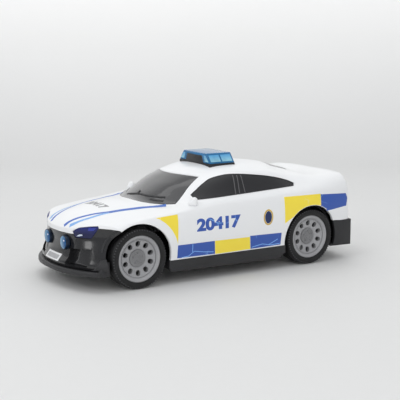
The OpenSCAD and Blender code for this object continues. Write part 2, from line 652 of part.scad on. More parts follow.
// Room in one end of the lens, and the bright reflectors that stand in it
cell_top_z = bar_top_z - bar_wall;
cell_gap = 0.4;
function cell_inner(z) =
    between(bar_core_low + bar_wall, bar_core_high + bar_wall + 1.4, bar_lens_z, cell_top_z, z);
function cell_outer(z) =
    between(bar_w / 2 - 1.3 * bar_wall, bar_w / 2 - bar_lean - bar_wall + 0.4, bar_lens_z, cell_top_z, z);
function cell_outline(z0, z1, gap) =
    [[cell_inner(z0) + gap, z0], [cell_outer(z0) - gap, z0],
        [cell_outer(z1) - gap, z1], [cell_inner(z1) + gap, z1]];
bowl_r = 5.6;
bowl_out = 1.4;
module lightbar_reflectors() color("gainsboro") for (m = [0, 1]) mirror([0, m, 0]) {
    difference() {
        bar_extrude(cell_outline(bar_lens_z + seat_gap, cell_top_z - cell_gap, cell_gap),
            bar_wall + cell_gap);
        for (k = [-1, 1])
            translate([bar_mid_x + k * bar_l * 0.22, bar_w / 2 + bowl_out, (bar_lens_z + bar_top_z) / 2])
                sphere(r = bowl_r, $fn = 32);
        translate([bar_mid_x, led_y, bar_low_z]) cylinder(d = led_d + 1.4, h = far);
    }
}

// Return spring of the light bar around its stem
spring_turns = 5;
spring_r = bar_stem_d / 2 + spring_wire / 2 + 0.5;
spring_low_z = board_z + board_t + spring_wire / 2 + seat_gap;
spring_high_z = bar_lens_z - bar_wall - spring_wire / 2 - seat_gap;
module lightbar_spring() color("silver") {
    per_turn = 12;
    sides = 6;
    count = spring_turns * per_turn;
    rings = [for (i = [0:count])
        let (a = i * 360 / per_turn, z = spring_low_z + (spring_high_z - spring_low_z) * i / count,
            out = [cos(a), sin(a), 0])
        [for (j = [0:sides - 1]) let (b = j * 360 / sides)
            [bar_mid_x, 0, z + spring_wire / 2 * sin(b)] + out * (spring_r + spring_wire / 2 * cos(b))]];
    points = [for (r = rings) each r];
    faces = [for (i = [0:count - 1]) for (j = [0:sides - 1])
        let (p = i * sides + j, q = i * sides + (j + 1) % sides)
        each [[p, p + sides, q + sides], [p, q + sides, q]]];
    polyhedron(points, concat(faces, [[for (j = [0:sides - 1]) j]],
        [[for (j = [sides - 1:-1:0]) count * sides + j]]));
}

// Board under the roof with its switch and lamps
board_l = board_posts[0][0] - board_posts[1][0] + 6;
led_y = bar_core_low - 1.5;
led_d = 3;
board_w = 2 * led_y + led_d + 1;
led_h = 5.2;
module circuit_board() color("darkgreen") difference() {
    translate([bar_mid_x - board_l / 2, -board_w / 2, board_z])
        cube([board_l, board_w, board_t - seat_gap]);
    for (p = board_posts) translate([p[0], p[1], board_z - cut])
        cylinder(d = board_screw_d, h = board_t + 2 * cut);
}
tact_w = 3;
module tact_switch() color("dimgray") translate([bar_mid_x, 0, board_z + board_t]) {
    translate([-tact_w / 2, -tact_w / 2, 0]) cube([tact_w, tact_w, 1.4]);
    cylinder(d = 1.8, h = 2);
}
module leds() color("lightskyblue") for (m = [-1, 1]) translate([bar_mid_x, m * led_y, board_z + board_t]) {
    cylinder(d = led_d + 0.8, h = 1);
    cylinder(d = led_d, h = led_h);
    translate([0, 0, led_h]) sphere(d = led_d);
}
module board_screws() color("silver") for (p = board_posts) translate([p[0], p[1], board_z]) {
    translate([0, 0, -1.2]) cylinder(d = 3.4, h = 1.2);
    cylinder(d = board_screw_d, h = screw_grip - 1);
}

// Chassis: floor with sills, lip, bumper, wells, bearings, battery box and posts
well_y = rim_face_y - tyre_w - 4;
front_well_w = 5;
rear_well_w = 13;
sill_w = 5;
sill_half = half_w - 1.8;
bearing_y = well_y - 6;
bearing_t = 4;
bearing_d = axle_d + 6;
sill_x = wheelbase / 2 - arch_r + 1;
floor_end_x = wheelbase / 2 + arch_r - 2.4;
lip_power = 2.5;
lip_curve = [for (i = [-band_steps:band_steps])
    let (y = bracket_y * i / band_steps) [splitter_x - splitter_bow * (abs(y) / band_half) ^ lip_power, y]];
bumper_curve = nose_curve(-tail_x - bumper_out, 0, -tail_bow);
bumper_top = tail_lip_z - seat_gap;
module floor_pan() {
    translate([0, 0, floor_z]) linear_extrude(floor_t) {
        polygon(concat(lip_curve, [[floor_end_x, bracket_y], [floor_end_x, -bracket_y]]));
        translate([-floor_end_x - cut, -well_y]) square([2 * (floor_end_x + cut), 2 * well_y]);
        translate([-sill_x, -sill_half]) square([2 * sill_x, 2 * sill_half]);
        polygon(concat(bumper_curve, [[-floor_end_x, bracket_y], [-floor_end_x, -bracket_y]]));
    }
}
module sills() {
    for (m = [0, 1]) mirror([0, m, 0]) translate([-sill_x, sill_half - sill_w, floor_z])
        cube([2 * sill_x, sill_w, sill_z - floor_z - seat_gap]);
}
lip_depth = 9;
module splitter() {
    translate([0, 0, floor_z]) linear_extrude(splitter_h)
        difference() {
            polygon(lip_curve);
            translate([-lip_depth, 0]) polygon(concat(lip_curve, [[0, band_half], [0, -band_half]]));
        }
    corner_brackets(0, 0);
}
// Three-cornered brackets that rise from the ends of the lip beside the front wheels
bracket_w = 2.4;
bracket_outline = [[front_x + 20, floor_z], [front_x + 27.5, floor_z], [front_x + 26.5, splitter_top],
    [front_x + 22.4, floor_z + 9], [front_x + 20, floor_z + 9]];
module corner_brackets(gap, outer_gap) {
    for (m = [0, 1]) mirror([0, m, 0]) translate([0, bracket_y + outer_gap, 0]) rotate([90, 0, 0])
        linear_extrude(bracket_w + gap + outer_gap) offset(delta = gap) polygon(bracket_outline);
}
bumper_low_z = floor_z + 1.4;
bumper_front_x = rear_x - 14;
module rear_bumper() {
    translate([0, 0, bumper_low_z]) linear_extrude(bumper_top - bumper_low_z) difference() {
        polygon(concat(bumper_curve, [[bumper_front_x, band_half], [bumper_front_x, -band_half]]));
        translate([skin, 0]) polygon(concat([for (p = bumper_curve) [p[0], p[1] * (1 - skin / band_half)]],
            [[rear_x, band_half - skin], [rear_x, -band_half + skin]]));
    }
}
module wheel_wells() {
    for (w = [[front_x, front_well_w], [rear_x, rear_well_w]]) for (m = [0, 1]) mirror([0, m, 0])
        intersection() {
            translate([w[0], well_y + w[1], axle_z]) rotate([90, 0, 0]) difference() {
                cylinder(r = well_r + well_t, h = w[1] + well_t);
                translate([0, 0, -cut]) cylinder(r = well_r, h = w[1] + cut);
                cylinder(d = axle_d + 2, h = far);
            }
            translate([-far / 2, 0, floor_z]) cube(far);
        }
}
module bearings() {
    for (x = [front_x, rear_x]) for (m = [0, 1]) mirror([0, m, 0])
        translate([x, bearing_y + bearing_t / 2, 0]) rotate([90, 0, 0]) linear_extrude(bearing_t) {
            translate([0, axle_z]) circle(d = bearing_d);
            translate([-bearing_d / 2, floor_top - 0.4]) square([bearing_d, axle_z - floor_top + 0.4]);
        }
}
// Battery box above a cover in the floor
cell_pitch = cell_d + 0.5;
contact_t = 0.3;
box_wall = 2.4;
cells = 3;
box_l = cells * cell_pitch + 1;
row_gap = 1;
cell_x = flywheel_x + flywheel_d / 2 + row_gap + box_wall + box_l / 2;
box_w = cell_d + 3;
cover_edge = 1;
cells_z = floor_top + 0.3 + contact_t;
box_top = cells_z + cell_h + contact_t + 0.2;
module battery_box() {
    translate([cell_x - box_l / 2 - box_wall, -box_w / 2 - box_wall, floor_z])
        cube([box_l + 2 * box_wall, box_w + 2 * box_wall, box_top + box_wall - floor_z]);
    translate([battery_screw_x, 0, floor_z]) cylinder(d = post_d, h = box_top - floor_z);
}
battery_screw_x = cell_x + box_l / 2 + box_wall + post_d / 2 - 1.5;
cover_w = box_w + 2 * cover_edge;
cover_x = cell_x - box_l / 2 - cover_edge;
cover_l = battery_screw_x + head_d / 2 + 1.5 - cover_x;
module battery_cuts() {
    translate([cell_x - box_l / 2, -box_w / 2, floor_z - cut])
        cube([box_l, box_w, box_top - floor_z + cut]);
    translate([cover_x - fit_gap, -cover_w / 2 - fit_gap, floor_z - cut])
        cube([cover_l + 2 * fit_gap, cover_w + 2 * fit_gap, floor_t + cut + 0.1]);
    translate([battery_screw_x, 0, floor_z]) cylinder(d = screw_d, h = far);
}
module battery_cover() color([0.22, 0.22, 0.23]) difference() {
    union() {
        translate([cover_x, -cover_w / 2, floor_z]) cube([cover_l, cover_w, floor_t]);
        for (i = [0:5]) translate([cell_x - 9 + i * 3.6, -5, floor_z]) cube([1.2, 10, floor_t + 0.25]);
    }
    translate([battery_screw_x, 0, floor_z - cut]) cylinder(d = head_d + 0.4, h = 1 + cut);
    translate([battery_screw_x, 0, floor_z - cut]) cylinder(d = screw_d + 0.1, h = far);
}
module battery_screw() color("silver") translate([battery_screw_x, 0, floor_z + 0.2]) {
    cylinder(d = head_d, h = 0.8);
    cylinder(d = screw_d, h = 6);
}
module button_cells() color("silver") for (i = [-1:1])
    translate([cell_x + i * cell_pitch, 0, cells_z]) {
        cylinder(d = cell_d, h = cell_h - 0.6);
        cylinder(d = cell_d - 2, h = cell_h);
    }
module battery_contacts() color("goldenrod") for (i = [-1:1]) {
    translate([cell_x + i * cell_pitch - 4, -2, cells_z - contact_t]) cube([8, 4, contact_t]);
    translate([cell_x + i * cell_pitch - 4, -2, cells_z + cell_h]) cube([8, 4, contact_t + 0.2]);
}
// Speaker in a ring on the floor, over a rosette of sound holes
speaker_ring = 1.4;
speaker_seat_d = speaker_d + 2 * (fit_gap + speaker_ring);
speaker_x = cover_x + cover_l + fit_gap + row_gap + speaker_seat_d / 2;
sound_hole_d = 1.5;
sound_hole_pitch = 3.4;
module speaker_seat() {
    translate([speaker_x, 0, floor_z]) cylinder(d = speaker_seat_d, h = floor_t + speaker_h * 0.7);
}
module speaker_cuts() {
    translate([speaker_x, 0, floor_top]) cylinder(d = speaker_d + 2 * fit_gap, h = far);
    translate([speaker_x, 0, 0]) {
        cylinder(d = sound_hole_d, h = far);
        for (ring = [1, 2]) for (a = [0:6 * ring - 1])
            rotate(a * 60 / ring) translate([ring * sound_hole_pitch, 0, 0])
                cylinder(d = sound_hole_d, h = far);
    }
}
module speaker() color("dimgray") translate([speaker_x, 0, floor_top]) difference() {
    union() {
        cylinder(d = speaker_d, h = 1.8);
        cylinder(d1 = speaker_d - 3, d2 = speaker_d * 0.6, h = speaker_h - 1.4);
        cylinder(d = speaker_d * 0.5, h = speaker_h);
    }
    translate([0, 0, -cut]) cylinder(d1 = speaker_d * 0.78, d2 = speaker_d * 0.4, h = 1.4 + cut);
}
// Power switch in a pocket of the floor
switch_y = 0;
switch_l = 12;
switch_x = speaker_x + speaker_seat_d / 2 + 2 * row_gap + switch_l / 2;
switch_w = 6;
knob_l = 4;
knob_w = 2.4;
knob_edge = 0.6;
module switch_cuts() {
    slot = knob_l + switch_travel + 2 * fit_gap;
    translate([switch_x - slot / 2, switch_y - knob_w / 2 - fit_gap, floor_z - cut])
        cube([slot, knob_w + 2 * fit_gap, floor_t + 2 * cut]);
}
module switch_body() color("gray") difference() {
    translate([switch_x - switch_l / 2, switch_y - switch_w / 2, floor_top + seat_gap])
        cube([switch_l, switch_w, 4]);
    translate([switch_x - switch_l / 2 + 1.4, switch_y - switch_w / 2 + 1, floor_top - cut])
        cube([switch_l - 2.8, switch_w - 2, 1.9 + cut]);
}
module switch_knob() color([0.12, 0.12, 0.12]) translate([switch_x, switch_y, 0]) {
    translate([-knob_l / 2 - switch_travel / 2, -knob_w / 2, floor_z + 0.1])
        cube([knob_l, knob_w, floor_t + 1]);
    translate([-knob_l / 2 - switch_travel / 2 - knob_edge, -switch_w / 2 + 1.3, floor_top + 0.3])
        cube([knob_l + 2 * knob_edge, switch_w - 2.6, 1.3]);
}
module chassis_posts() {
    for (p = body_posts) translate([p[0], p[1], floor_z]) cylinder(d = post_d, h = post_top_z - floor_z);
    for (p = motor_posts) translate([p[0], p[1], floor_z])
        cylinder(d = motor_post_d, h = motor_foot_z - floor_z);
}
module chassis_post_bores() {
    for (p = body_posts) translate([p[0], p[1], floor_z - cut]) {
        cylinder(d = screw_d + 0.2, h = far);
        cylinder(d = head_d + 0.4, h = post_top_z - floor_z - 4 + cut);
    }
    for (p = motor_posts) translate([p[0], p[1], floor_z + floor_t]) cylinder(d = motor_screw_d, h = far);
}
module chassis_screws() color("silver") for (p = body_posts)
    translate([p[0], p[1], post_top_z - 4 - head_h]) {
        cylinder(d = head_d, h = head_h);
        cylinder(d = screw_d, h = head_h + 4 + screw_grip - 1);
    }
module chassis() color([0.16, 0.16, 0.17]) difference() {
    union() {
        floor_pan();
        sills();
        splitter();
        difference() {
            rear_bumper();
            arch_cut(arch_r);
        }
        wheel_wells();
        bearings();
        battery_box();
        speaker_seat();
        chassis_posts();
    }
    for (x = [front_x, rear_x]) translate([x, 0, axle_z]) rotate([90, 0, 0])
        cylinder(d = axle_d + 2 * running_gap, h = far, center = true);
    battery_cuts();
    speaker_cuts();
    switch_cuts();
    chassis_post_bores();
    translate([rear_x - gear_r - 1.5, gear_y - 1, floor_top - gear_recess])
        cube([2 * gear_r + 3, gear_w + 2, gear_recess + cut]);
}

// Wheels: axle along Y, outer side towards +Y before mirroring
rim_w = tyre_w - 2;
rim_seat_r = rim_d / 2 - 1.4;
tyre_bulge = 0.6;
module on_wheel(x, side) {
    mirror([0, side < 0 ? 1 : 0, 0]) translate([x, rim_face_y, axle_z]) rotate([-90, 0, 0]) children();
}
// Profiles run along the axle from the outer edge inwards, as [radius, depth below zero]
module tyre(x, side) {
    r = tyre_d / 2;
    bore = rim_seat_r + seat_gap;
    edge = rim_d / 2 + seat_gap;
    on_wheel(x, side) rotate_extrude() difference() {
        polygon([[bore, -rim_w - 0.6], [bore, -1 - seat_gap], [edge, -1 - seat_gap], [edge, 0.1],
            [rim_d / 2 + 1.4, tyre_bulge], [r - 1.6, tyre_bulge - 0.2], [r - 0.5, -0.5], [r, -1.8],
            [r, -tyre_w + 2], [r - 0.5, -tyre_w + 0.7], [r - 1.6, -tyre_w], [edge, -tyre_w]]);
        for (d = [0.36, 0.64]) translate([r - groove_depth, -tyre_w * d - 0.5])
            square([groove_depth + cut, 1]);
    }
}
rim_hole_r = (rim_d / 2 + hub_disc_d / 2) / 2 - 1;
rim_hole_d = 2.9;
rim_slot = 0.6;
hub_marks = 5;
module rim(x, side) {
    edge = rim_d / 2;
    on_wheel(x, side) difference() {
        rotate_extrude() polygon([[axle_d / 2, -rim_w + 2], [axle_d / 2, -rim_dish - 1],
            [hub_disc_d / 2 - 0.6, -rim_dish - 1], [hub_disc_d / 2, -rim_dish],
            [edge - 3.4, -rim_dish + 0.8], [edge - 1.6, -0.4], [edge - 0.8, 0], [edge, -0.4],
            [edge, -1], [rim_seat_r, -1],
            [rim_seat_r, -rim_w - 0.6], [rim_seat_r - 1.2, -rim_w - 0.6],
            [rim_seat_r - 1.2, -rim_dish - 3], [edge - 4, -rim_dish - 1.8],
            [hub_disc_d / 2, -rim_dish - 2.6],
            [axle_d / 2 + 2, -rim_dish - 2.8], [axle_d / 2 + 2, -rim_w + 2]]);
        for (a = [0:rim_holes - 1]) rotate(a * 360 / rim_holes) translate([rim_hole_r, 0, -rim_w])
            linear_extrude(rim_w + cut) {
                for (k = [-1, 1]) translate([k * rim_slot / 2, 0]) circle(d = rim_hole_d);
                square([rim_slot, rim_hole_d], center = true);
            }
        for (a = [0:hub_marks - 1]) rotate(a * 360 / hub_marks)
            translate([hub_disc_d / 4 + 1, 0, -rim_dish - 1.5]) cylinder(r = 0.6, h = 1);
    }
}
module rim_front_left() color("darkgray") rim(front_x, 1);
module rim_front_right() color("darkgray") rim(front_x, -1);
module rim_rear_left() color("darkgray") rim(rear_x, 1);
module rim_rear_right() color("darkgray") rim(rear_x, -1);
module tyre_front_left() color([0.1, 0.1, 0.1]) tyre(front_x, 1);
module tyre_front_right() color([0.1, 0.1, 0.1]) tyre(front_x, -1);
module tyre_rear_left() color([0.1, 0.1, 0.1]) tyre(rear_x, 1);
module tyre_rear_right() color([0.1, 0.1, 0.1]) tyre(rear_x, -1);
axle_half = rim_face_y - rim_dish - 1;
module axle(x) {
    translate([x, 0, axle_z]) rotate([90, 0, 0]) cylinder(d = axle_d, h = 2 * axle_half, center = true);
}
module front_axle() color("silver") axle(front_x);
module rear_axle() color("silver") axle(rear_x);

// Friction drive: axle gear, idler with pinion, flywheel with pinion, all between two plates
function involute(a) = tan(a) * 180 / PI - a;
function tooth_half(teeth, rr) =
    let (r = teeth * gear_module / 2, rb = r * cos(pressure))
    90 / teeth - backlash / r * 180 / PI + involute(pressure) - involute(acos(min(1, rb / max(rr, rb))));
function gear_outline(teeth, turn) =
    let (
        r = teeth * gear_module / 2,
        rb = r * cos(pressure),
        ra = r + addendum,
        rf = r - dedendum,
        flank = [rf, max(rb, rf + 0.01), r, (r + ra) / 2, ra]
    )
    [for (t = [0:teeth - 1]) for (s = [-1, 1]) for (i = [0:4])
        let (rr = flank[s < 0 ? i : 4 - i], a = turn + t * 360 / teeth + s * tooth_half(teeth, rr))
        rr * [cos(a), sin(a)]];
// A gear seen from the side of the car: X forward, Z up, from y to y + w
module gear(x, z, teeth, turn, y, w) {
    translate([x, y + w, z]) rotate([90, 0, 0]) linear_extrude(w) polygon(gear_outline(teeth, turn));
}
module pin(x, z, d, y0, y1) translate([x, y1, z]) rotate([90, 0, 0]) cylinder(d = d, h = y1 - y0);
pinion_gap_turn = 180 / pinion_teeth;
plate_y = gear_w + gear_y + 1;
plate_t = 1.2;
module axle_gear() color("white") difference() {
    union() {
        gear(rear_x, axle_z, gear_teeth, idler_angle, gear_y, gear_w);
        pin(rear_x, axle_z, axle_d + 3, -gear_y - gear_w, gear_y + 0.5);
    }
    pin(rear_x, axle_z, axle_d, -far, far);
}
module idler_gear() color("ivory") {
    gear(idler_x, idler_z, pinion_teeth, idler_angle + 180 + pinion_gap_turn, gear_y - 0.6, gear_w + 0.6);
    gear(idler_x, idler_z, gear_teeth, flywheel_angle, -gear_y - gear_w, gear_w);
    pin(idler_x, idler_z, pinion_r * 1.4, -gear_y - 0.2, gear_y);
    pin(idler_x, idler_z, shaft_d, -plate_y - plate_t + 0.2, plate_y + plate_t - 0.2);
}
flywheel_y = plate_y + plate_t + 0.8;
module flywheel() color("slategray") {
    gear(flywheel_x, flywheel_z, pinion_teeth, flywheel_angle + 180 + pinion_gap_turn,
        -gear_y - gear_w, gear_w + 0.4);
    pin(flywheel_x, flywheel_z, shaft_d, -plate_y - plate_t - 0.5, flywheel_y + 0.1);
    pin(flywheel_x, flywheel_z, flywheel_d, flywheel_y, flywheel_y + flywheel_t);
}
motor_post_d = 4.4;
motor_screw_d = 1.8;
motor_head_d = 3.4;
motor_head_h = 1;
motor_screw_grip = 3;
motor_foot_z = floor_top + 2.2;
motor_foot_t = 1.4;
motor_foot_w = 6;
rear_foot_x = rear_x - gear_r - addendum - 0.8 - motor_foot_w;
front_foot_x = flywheel_x + 1;
front_foot_out = 5.6;
motor_posts = [[rear_foot_x + motor_foot_w / 2, 0], [front_foot_x + 4, -plate_y - 4]];
plate_shafts = [[rear_x, axle_z, axle_d + 5], [idler_x, idler_z, 8], [flywheel_x, flywheel_z, 7]];
leg_low = motor_foot_z + seat_gap;
module motor_plate() {
    for (i = [0:1]) hull() {
        for (s = [plate_shafts[i], plate_shafts[i + 1]]) translate([s[0], s[1]]) circle(d = s[2], $fn = 32);
    }
    translate([rear_x - axle_d / 2 - 2.5, leg_low]) square([axle_d + 5, axle_z - leg_low]);
    translate([rear_foot_x + motor_foot_w - 1, leg_low]) square([rear_x - rear_foot_x - motor_foot_w, 4]);
}
module motor_frame() color("lightgray") difference() {
    union() {
        for (y = [-plate_y - plate_t, plate_y]) translate([0, y + plate_t, 0]) rotate([90, 0, 0])
            linear_extrude(plate_t) motor_plate();
        translate([rear_foot_x, -plate_y - plate_t, leg_low])
            cube([motor_foot_w, 2 * (plate_y + plate_t), motor_foot_t]);
        translate([front_foot_x, -plate_y - plate_t - front_foot_out, leg_low])
            cube([motor_foot_w + 1, front_foot_out + plate_t, motor_foot_t]);
        translate([front_foot_x, -plate_y - plate_t, leg_low]) cube([2, plate_t, flywheel_z - leg_low]);
    }
    pin(rear_x, axle_z, axle_d + 2 * running_gap, -far, far);
    pin(idler_x, idler_z, shaft_d + 2 * running_gap, -far, far);
    pin(flywheel_x, flywheel_z, shaft_d + 2 * running_gap, -far, far);
    for (p = motor_posts) translate([p[0], p[1], 0]) cylinder(d = motor_screw_d, h = axle_z);
}
module motor_screws() color("silver") for (p = motor_posts)
    translate([p[0], p[1], motor_foot_z + motor_foot_t + seat_gap]) {
        cylinder(d = motor_head_d, h = motor_head_h);
        translate([0, 0, -motor_screw_grip]) cylinder(d = motor_screw_d, h = motor_screw_grip);
    }

body_shell();
window_insert();
front_fascia();
chassis();
headlamp_left();
headlamp_right();
grille_lamp_left();
grille_lamp_right();
tail_lamp_left();
tail_lamp_right();
lightbar_base();
lightbar_lens();
lightbar_reflectors();
lightbar_spring();
circuit_board();
tact_switch();
leds();
board_screws();
speaker();
button_cells();
battery_contacts();
battery_cover();
battery_screw();
switch_body();
switch_knob();
chassis_screws();
front_axle();
rear_axle();
rim_front_left();
rim_front_right();
rim_rear_left();
rim_rear_right();
tyre_front_left();
tyre_front_right();
tyre_rear_left();
tyre_rear_right();
motor_frame();
axle_gear();
idler_gear();
flywheel();
motor_screws();
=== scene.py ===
"""Toy patrol car: its looks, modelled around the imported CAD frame.

Every piece is an operator of its own, and the panel in the 3D view's sidebar lists them.
Sizes are lengths in metres on the scene's property groups. Curves inside the script are in millimetres.
"""

import json
from contextlib import contextmanager
from math import cos, pi, radians, sin

import bpy
import numpy as np
from bpy.props import FloatProperty, FloatVectorProperty, PointerProperty
from mathutils import Matrix, Vector


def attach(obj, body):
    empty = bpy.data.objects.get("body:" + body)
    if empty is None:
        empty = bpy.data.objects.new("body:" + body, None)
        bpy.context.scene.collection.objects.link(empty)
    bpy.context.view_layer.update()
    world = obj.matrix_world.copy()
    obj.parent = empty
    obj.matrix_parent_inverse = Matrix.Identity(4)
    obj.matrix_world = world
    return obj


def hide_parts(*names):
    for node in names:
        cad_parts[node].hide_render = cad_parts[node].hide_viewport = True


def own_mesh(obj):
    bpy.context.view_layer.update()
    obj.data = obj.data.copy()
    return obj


bl_info = {
    "name": "Toy Patrol Car",
    "version": (1, 0, 0),
    "blender": (4, 5, 0),
    "location": "View3D > Sidebar > Toy Car",
    "description": "Models a toy patrol car piece by piece around its CAD frame",
    "category": "Object",
}

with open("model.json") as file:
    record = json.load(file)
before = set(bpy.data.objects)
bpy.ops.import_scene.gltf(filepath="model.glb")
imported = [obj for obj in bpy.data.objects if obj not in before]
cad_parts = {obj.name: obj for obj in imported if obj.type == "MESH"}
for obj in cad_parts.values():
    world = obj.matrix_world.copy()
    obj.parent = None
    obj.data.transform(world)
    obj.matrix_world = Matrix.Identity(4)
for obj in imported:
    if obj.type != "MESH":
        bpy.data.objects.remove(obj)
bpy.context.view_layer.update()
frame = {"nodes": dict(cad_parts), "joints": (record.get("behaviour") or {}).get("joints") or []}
MM = 0.001
JOINTS = {joint["name"]: joint for joint in frame["joints"]}
FRONT_AXLE = Vector(JOINTS["front_spin"]["pos_m"]) / MM
REAR_AXLE = Vector(JOINTS["rear_spin"]["pos_m"]) / MM
FRONT_WHEEL = (FRONT_AXLE.x, FRONT_AXLE.z)
REAR_WHEEL = (REAR_AXLE.x, REAR_AXLE.z)


def length(name, text, millimetres):
    """A length property, given in millimetres."""
    return FloatProperty(name=name, description=text, default=millimetres * MM, precision=5, unit="LENGTH")


def colour(name, text, red, green, blue):
    """A colour property, given as it looks on a screen from 0 to 255."""
    linear = [((c / 255 + 0.055) / 1.055) ** 2.4 if c > 10 else c / 255 / 12.92 for c in (red, green, blue)]
    limits = {"size": 3, "min": 0, "max": 1}
    return FloatVectorProperty(name=name, description=text, default=linear, subtype="COLOR", **limits)


class ToyCarSizes(bpy.types.PropertyGroup):
    """Lengths that the pieces are worked out from."""

    half_width: length("Half width", "Half of the body's greatest width", 47)
    nose_x: length("Nose", "Front edge of the hood from the middle of the wheelbase", 102)
    tail_x: length("Tail", "Rear edge of the tail from the middle of the wheelbase", 105)
    nose_bow: length("Nose bow", "How far the nose runs back towards the corners", 22)
    tail_bow: length("Tail bow", "How far the tail runs forward towards the corners", 4.5)
    sill_z: length("Sill", "Height of the shell's lower edge at the doors", 15.5)
    lip_z: length("Nose lip", "Height of the shell's lower edge at the nose", 34)
    tail_lip_z: length("Tail lip", "Height of the shell's lower edge at the tail", 28)
    nose_z: length("Nose height", "Height of the hood's front edge", 36.8)
    cowl_z: length("Cowl", "Height of the hood at the windscreen", 50)
    waist_z: length("Waist", "Height of the window line at the doors", 52)
    roof_z: length("Roof", "Height of the roof", 70.3)
    tail_z: length("Tail height", "Height of the tail's upper edge", 60.2)
    wall: length("Wall", "Wall of the shell", 1.8)
    pane_inset: length("Pane inset", "How far the panes lie below the shell's surface", 0.35)
    fit_gap: length("Fit", "Room around a piece that sits in an opening", 0.2)
    arch_radius: length("Arch", "Radius of the wheel openings", 22)
    tyre_diameter: length("Tyre", "Outside diameter of a tyre", 37.98)
    tyre_width: length("Tyre width", "Width of a tyre", 14)
    rim_diameter: length("Rim", "Diameter of a rim's outer edge", 29.4)
    rim_face_y: length("Rim face", "Distance of the rims' outer edges from the middle plane", 45)
    bar_width: length("Bar width", "Width of the light bar across the car", 39)
    bar_length: length("Bar length", "Length of the light bar along the car", 20)
    bar_front_x: length("Bar front", "Front face of the light bar", -1.2)
    bar_lens_z: length("Bar lens", "Height where the blue lens starts", 70.4)
    bar_top_z: length("Bar top", "Height of the light bar's top", 76.99)
    sticker_lift: length("Sticker lift", "How far the stickers stand off the shell", 0.06)


class ToyCarColours(bpy.types.PropertyGroup):
    """Colours that the materials start from."""

    white: colour("White", "Shell", 238, 239, 240)
    glass: colour("Glass", "Window moulding", 42, 42, 45)
    # Ridge: the ridges are real; their lighter grey is painted highlight along their edges
    ridge: colour("Ridge", "Ridges on the side windows", 96, 95, 97)
    trim: colour("Trim", "Chassis and light bar base", 41, 41, 43)
    fascia: colour("Fascia", "Glossy nose below the hood", 29, 29, 31)
    tyre: colour("Tyre", "Tyres", 17, 17, 18)
    # Stud: the studs are real; their grey, lighter than the tyre, is painted highlight
    stud: colour("Stud", "Row of studs on the tyre shoulders", 74, 74, 77)
    rim: colour("Rim", "Rims", 164, 164, 166)
    blue: colour("Blue", "Blue stickers", 52, 88, 172)
    pale_blue: colour("Pale blue", "Lighter hood line", 124, 174, 230)
    hood_blue: colour("Hood blue", "Darker hood line", 44, 100, 190)
    yellow: colour("Yellow", "Yellow stickers", 250, 226, 72)
    lens: colour("Lens", "Light bar lens", 66, 150, 208)
    cell: colour("Cell", "Paler cells of the light bar", 150, 206, 224)
    headlamp: colour("Headlamp", "Headlamp lenses", 36, 46, 122)
    lamp: colour("Grille lamp", "Faces of the round lamps on the fascia", 122, 170, 206)
    # Painted shade and reflection: the colour the round lamps' faces run into towards +Y
    lamp_deep: colour("Lamp depth", "Darker side of the round lamps", 30, 86, 142)
    # Pale colour of the painted highlights on the lamps' lenses
    glint: colour("Glint", "Bright diodes in the lamps", 214, 224, 242)
    # Lamp ring: the round lamps' walls are real; their dark colour is painted shade on the lamps' sides
    lamp_ring: colour("Lamp ring", "Walls of the round lamps", 8, 30, 54)
    tail_lamp: colour("Tail lamp", "Tail lamp lenses", 160, 22, 24)
    gold: colour("Gold", "Door badge", 205, 170, 70)
    floor: colour("Floor", "Floor and backdrop", 224, 224, 223)


def size(name):
    """One of the lengths, in millimetres."""
    return getattr(bpy.context.scene.toy_car_sizes, name) / MM


def shaded(rgba, share):
    """A colour darkened or lightened by a share."""
    return (*[min(1.0, c * share) for c in rgba[:3]], 1.0)


def paint(name, share=1.0):
    """One of the colours, as a socket takes it, darkened or lightened by a share."""
    return shaded(getattr(bpy.context.scene.toy_car_colours, name), share)


# Curves and surfaces, in millimetres


def ease(u):
    v = min(1.0, max(0.0, u))
    return v * v * (3 - 2 * v)


def smooth(values, keys, t):
    """Hermite curve through rows of values, its slopes taken from the neighbours."""
    rising = keys[0] < keys[1]
    i = 0
    while i < len(keys) - 2 and (t > keys[i + 1] if rising else t < keys[i + 1]):
        i += 1

    def slope(j):
        a, b = max(j - 1, 0), min(j + 1, len(keys) - 1)
        return (values[b] - values[a]) / (keys[b] - keys[a])

    h = keys[i + 1] - keys[i]
    u = (t - keys[i]) / h
    return (
        values[i] * (2 * u**3 - 3 * u**2 + 1)
        + slope(i) * h * (u**3 - 2 * u**2 + u)
        + values[i + 1] * (3 * u**2 - 2 * u**3)
        + slope(i + 1) * h * (u**3 - u**2)
    )


def curve_through(points, per_span):
    """A smooth line through points, with so many steps from one to the next."""
    values = np.array(points, float)
    keys = np.arange(len(points), dtype=float)
    return [smooth(values, keys, i / per_span) for i in range((len(points) - 1) * per_span + 1)]


def normals(points):
    """Unit normals on the left of a line of points."""
    last = len(points) - 1
    along = np.array([points[min(i + 1, last)] - points[max(i - 1, 0)] for i in range(last + 1)])
    return np.stack([-along[:, 1], along[:, 0]], axis=1) / np.linalg.norm(along, axis=1)[:, None]


BOW_POWER = 2.3
BAND_HALF = 45.0
BAND_COLUMNS = 121


def bow_share(y):
    return (abs(y) / BAND_HALF) ** BOW_POWER


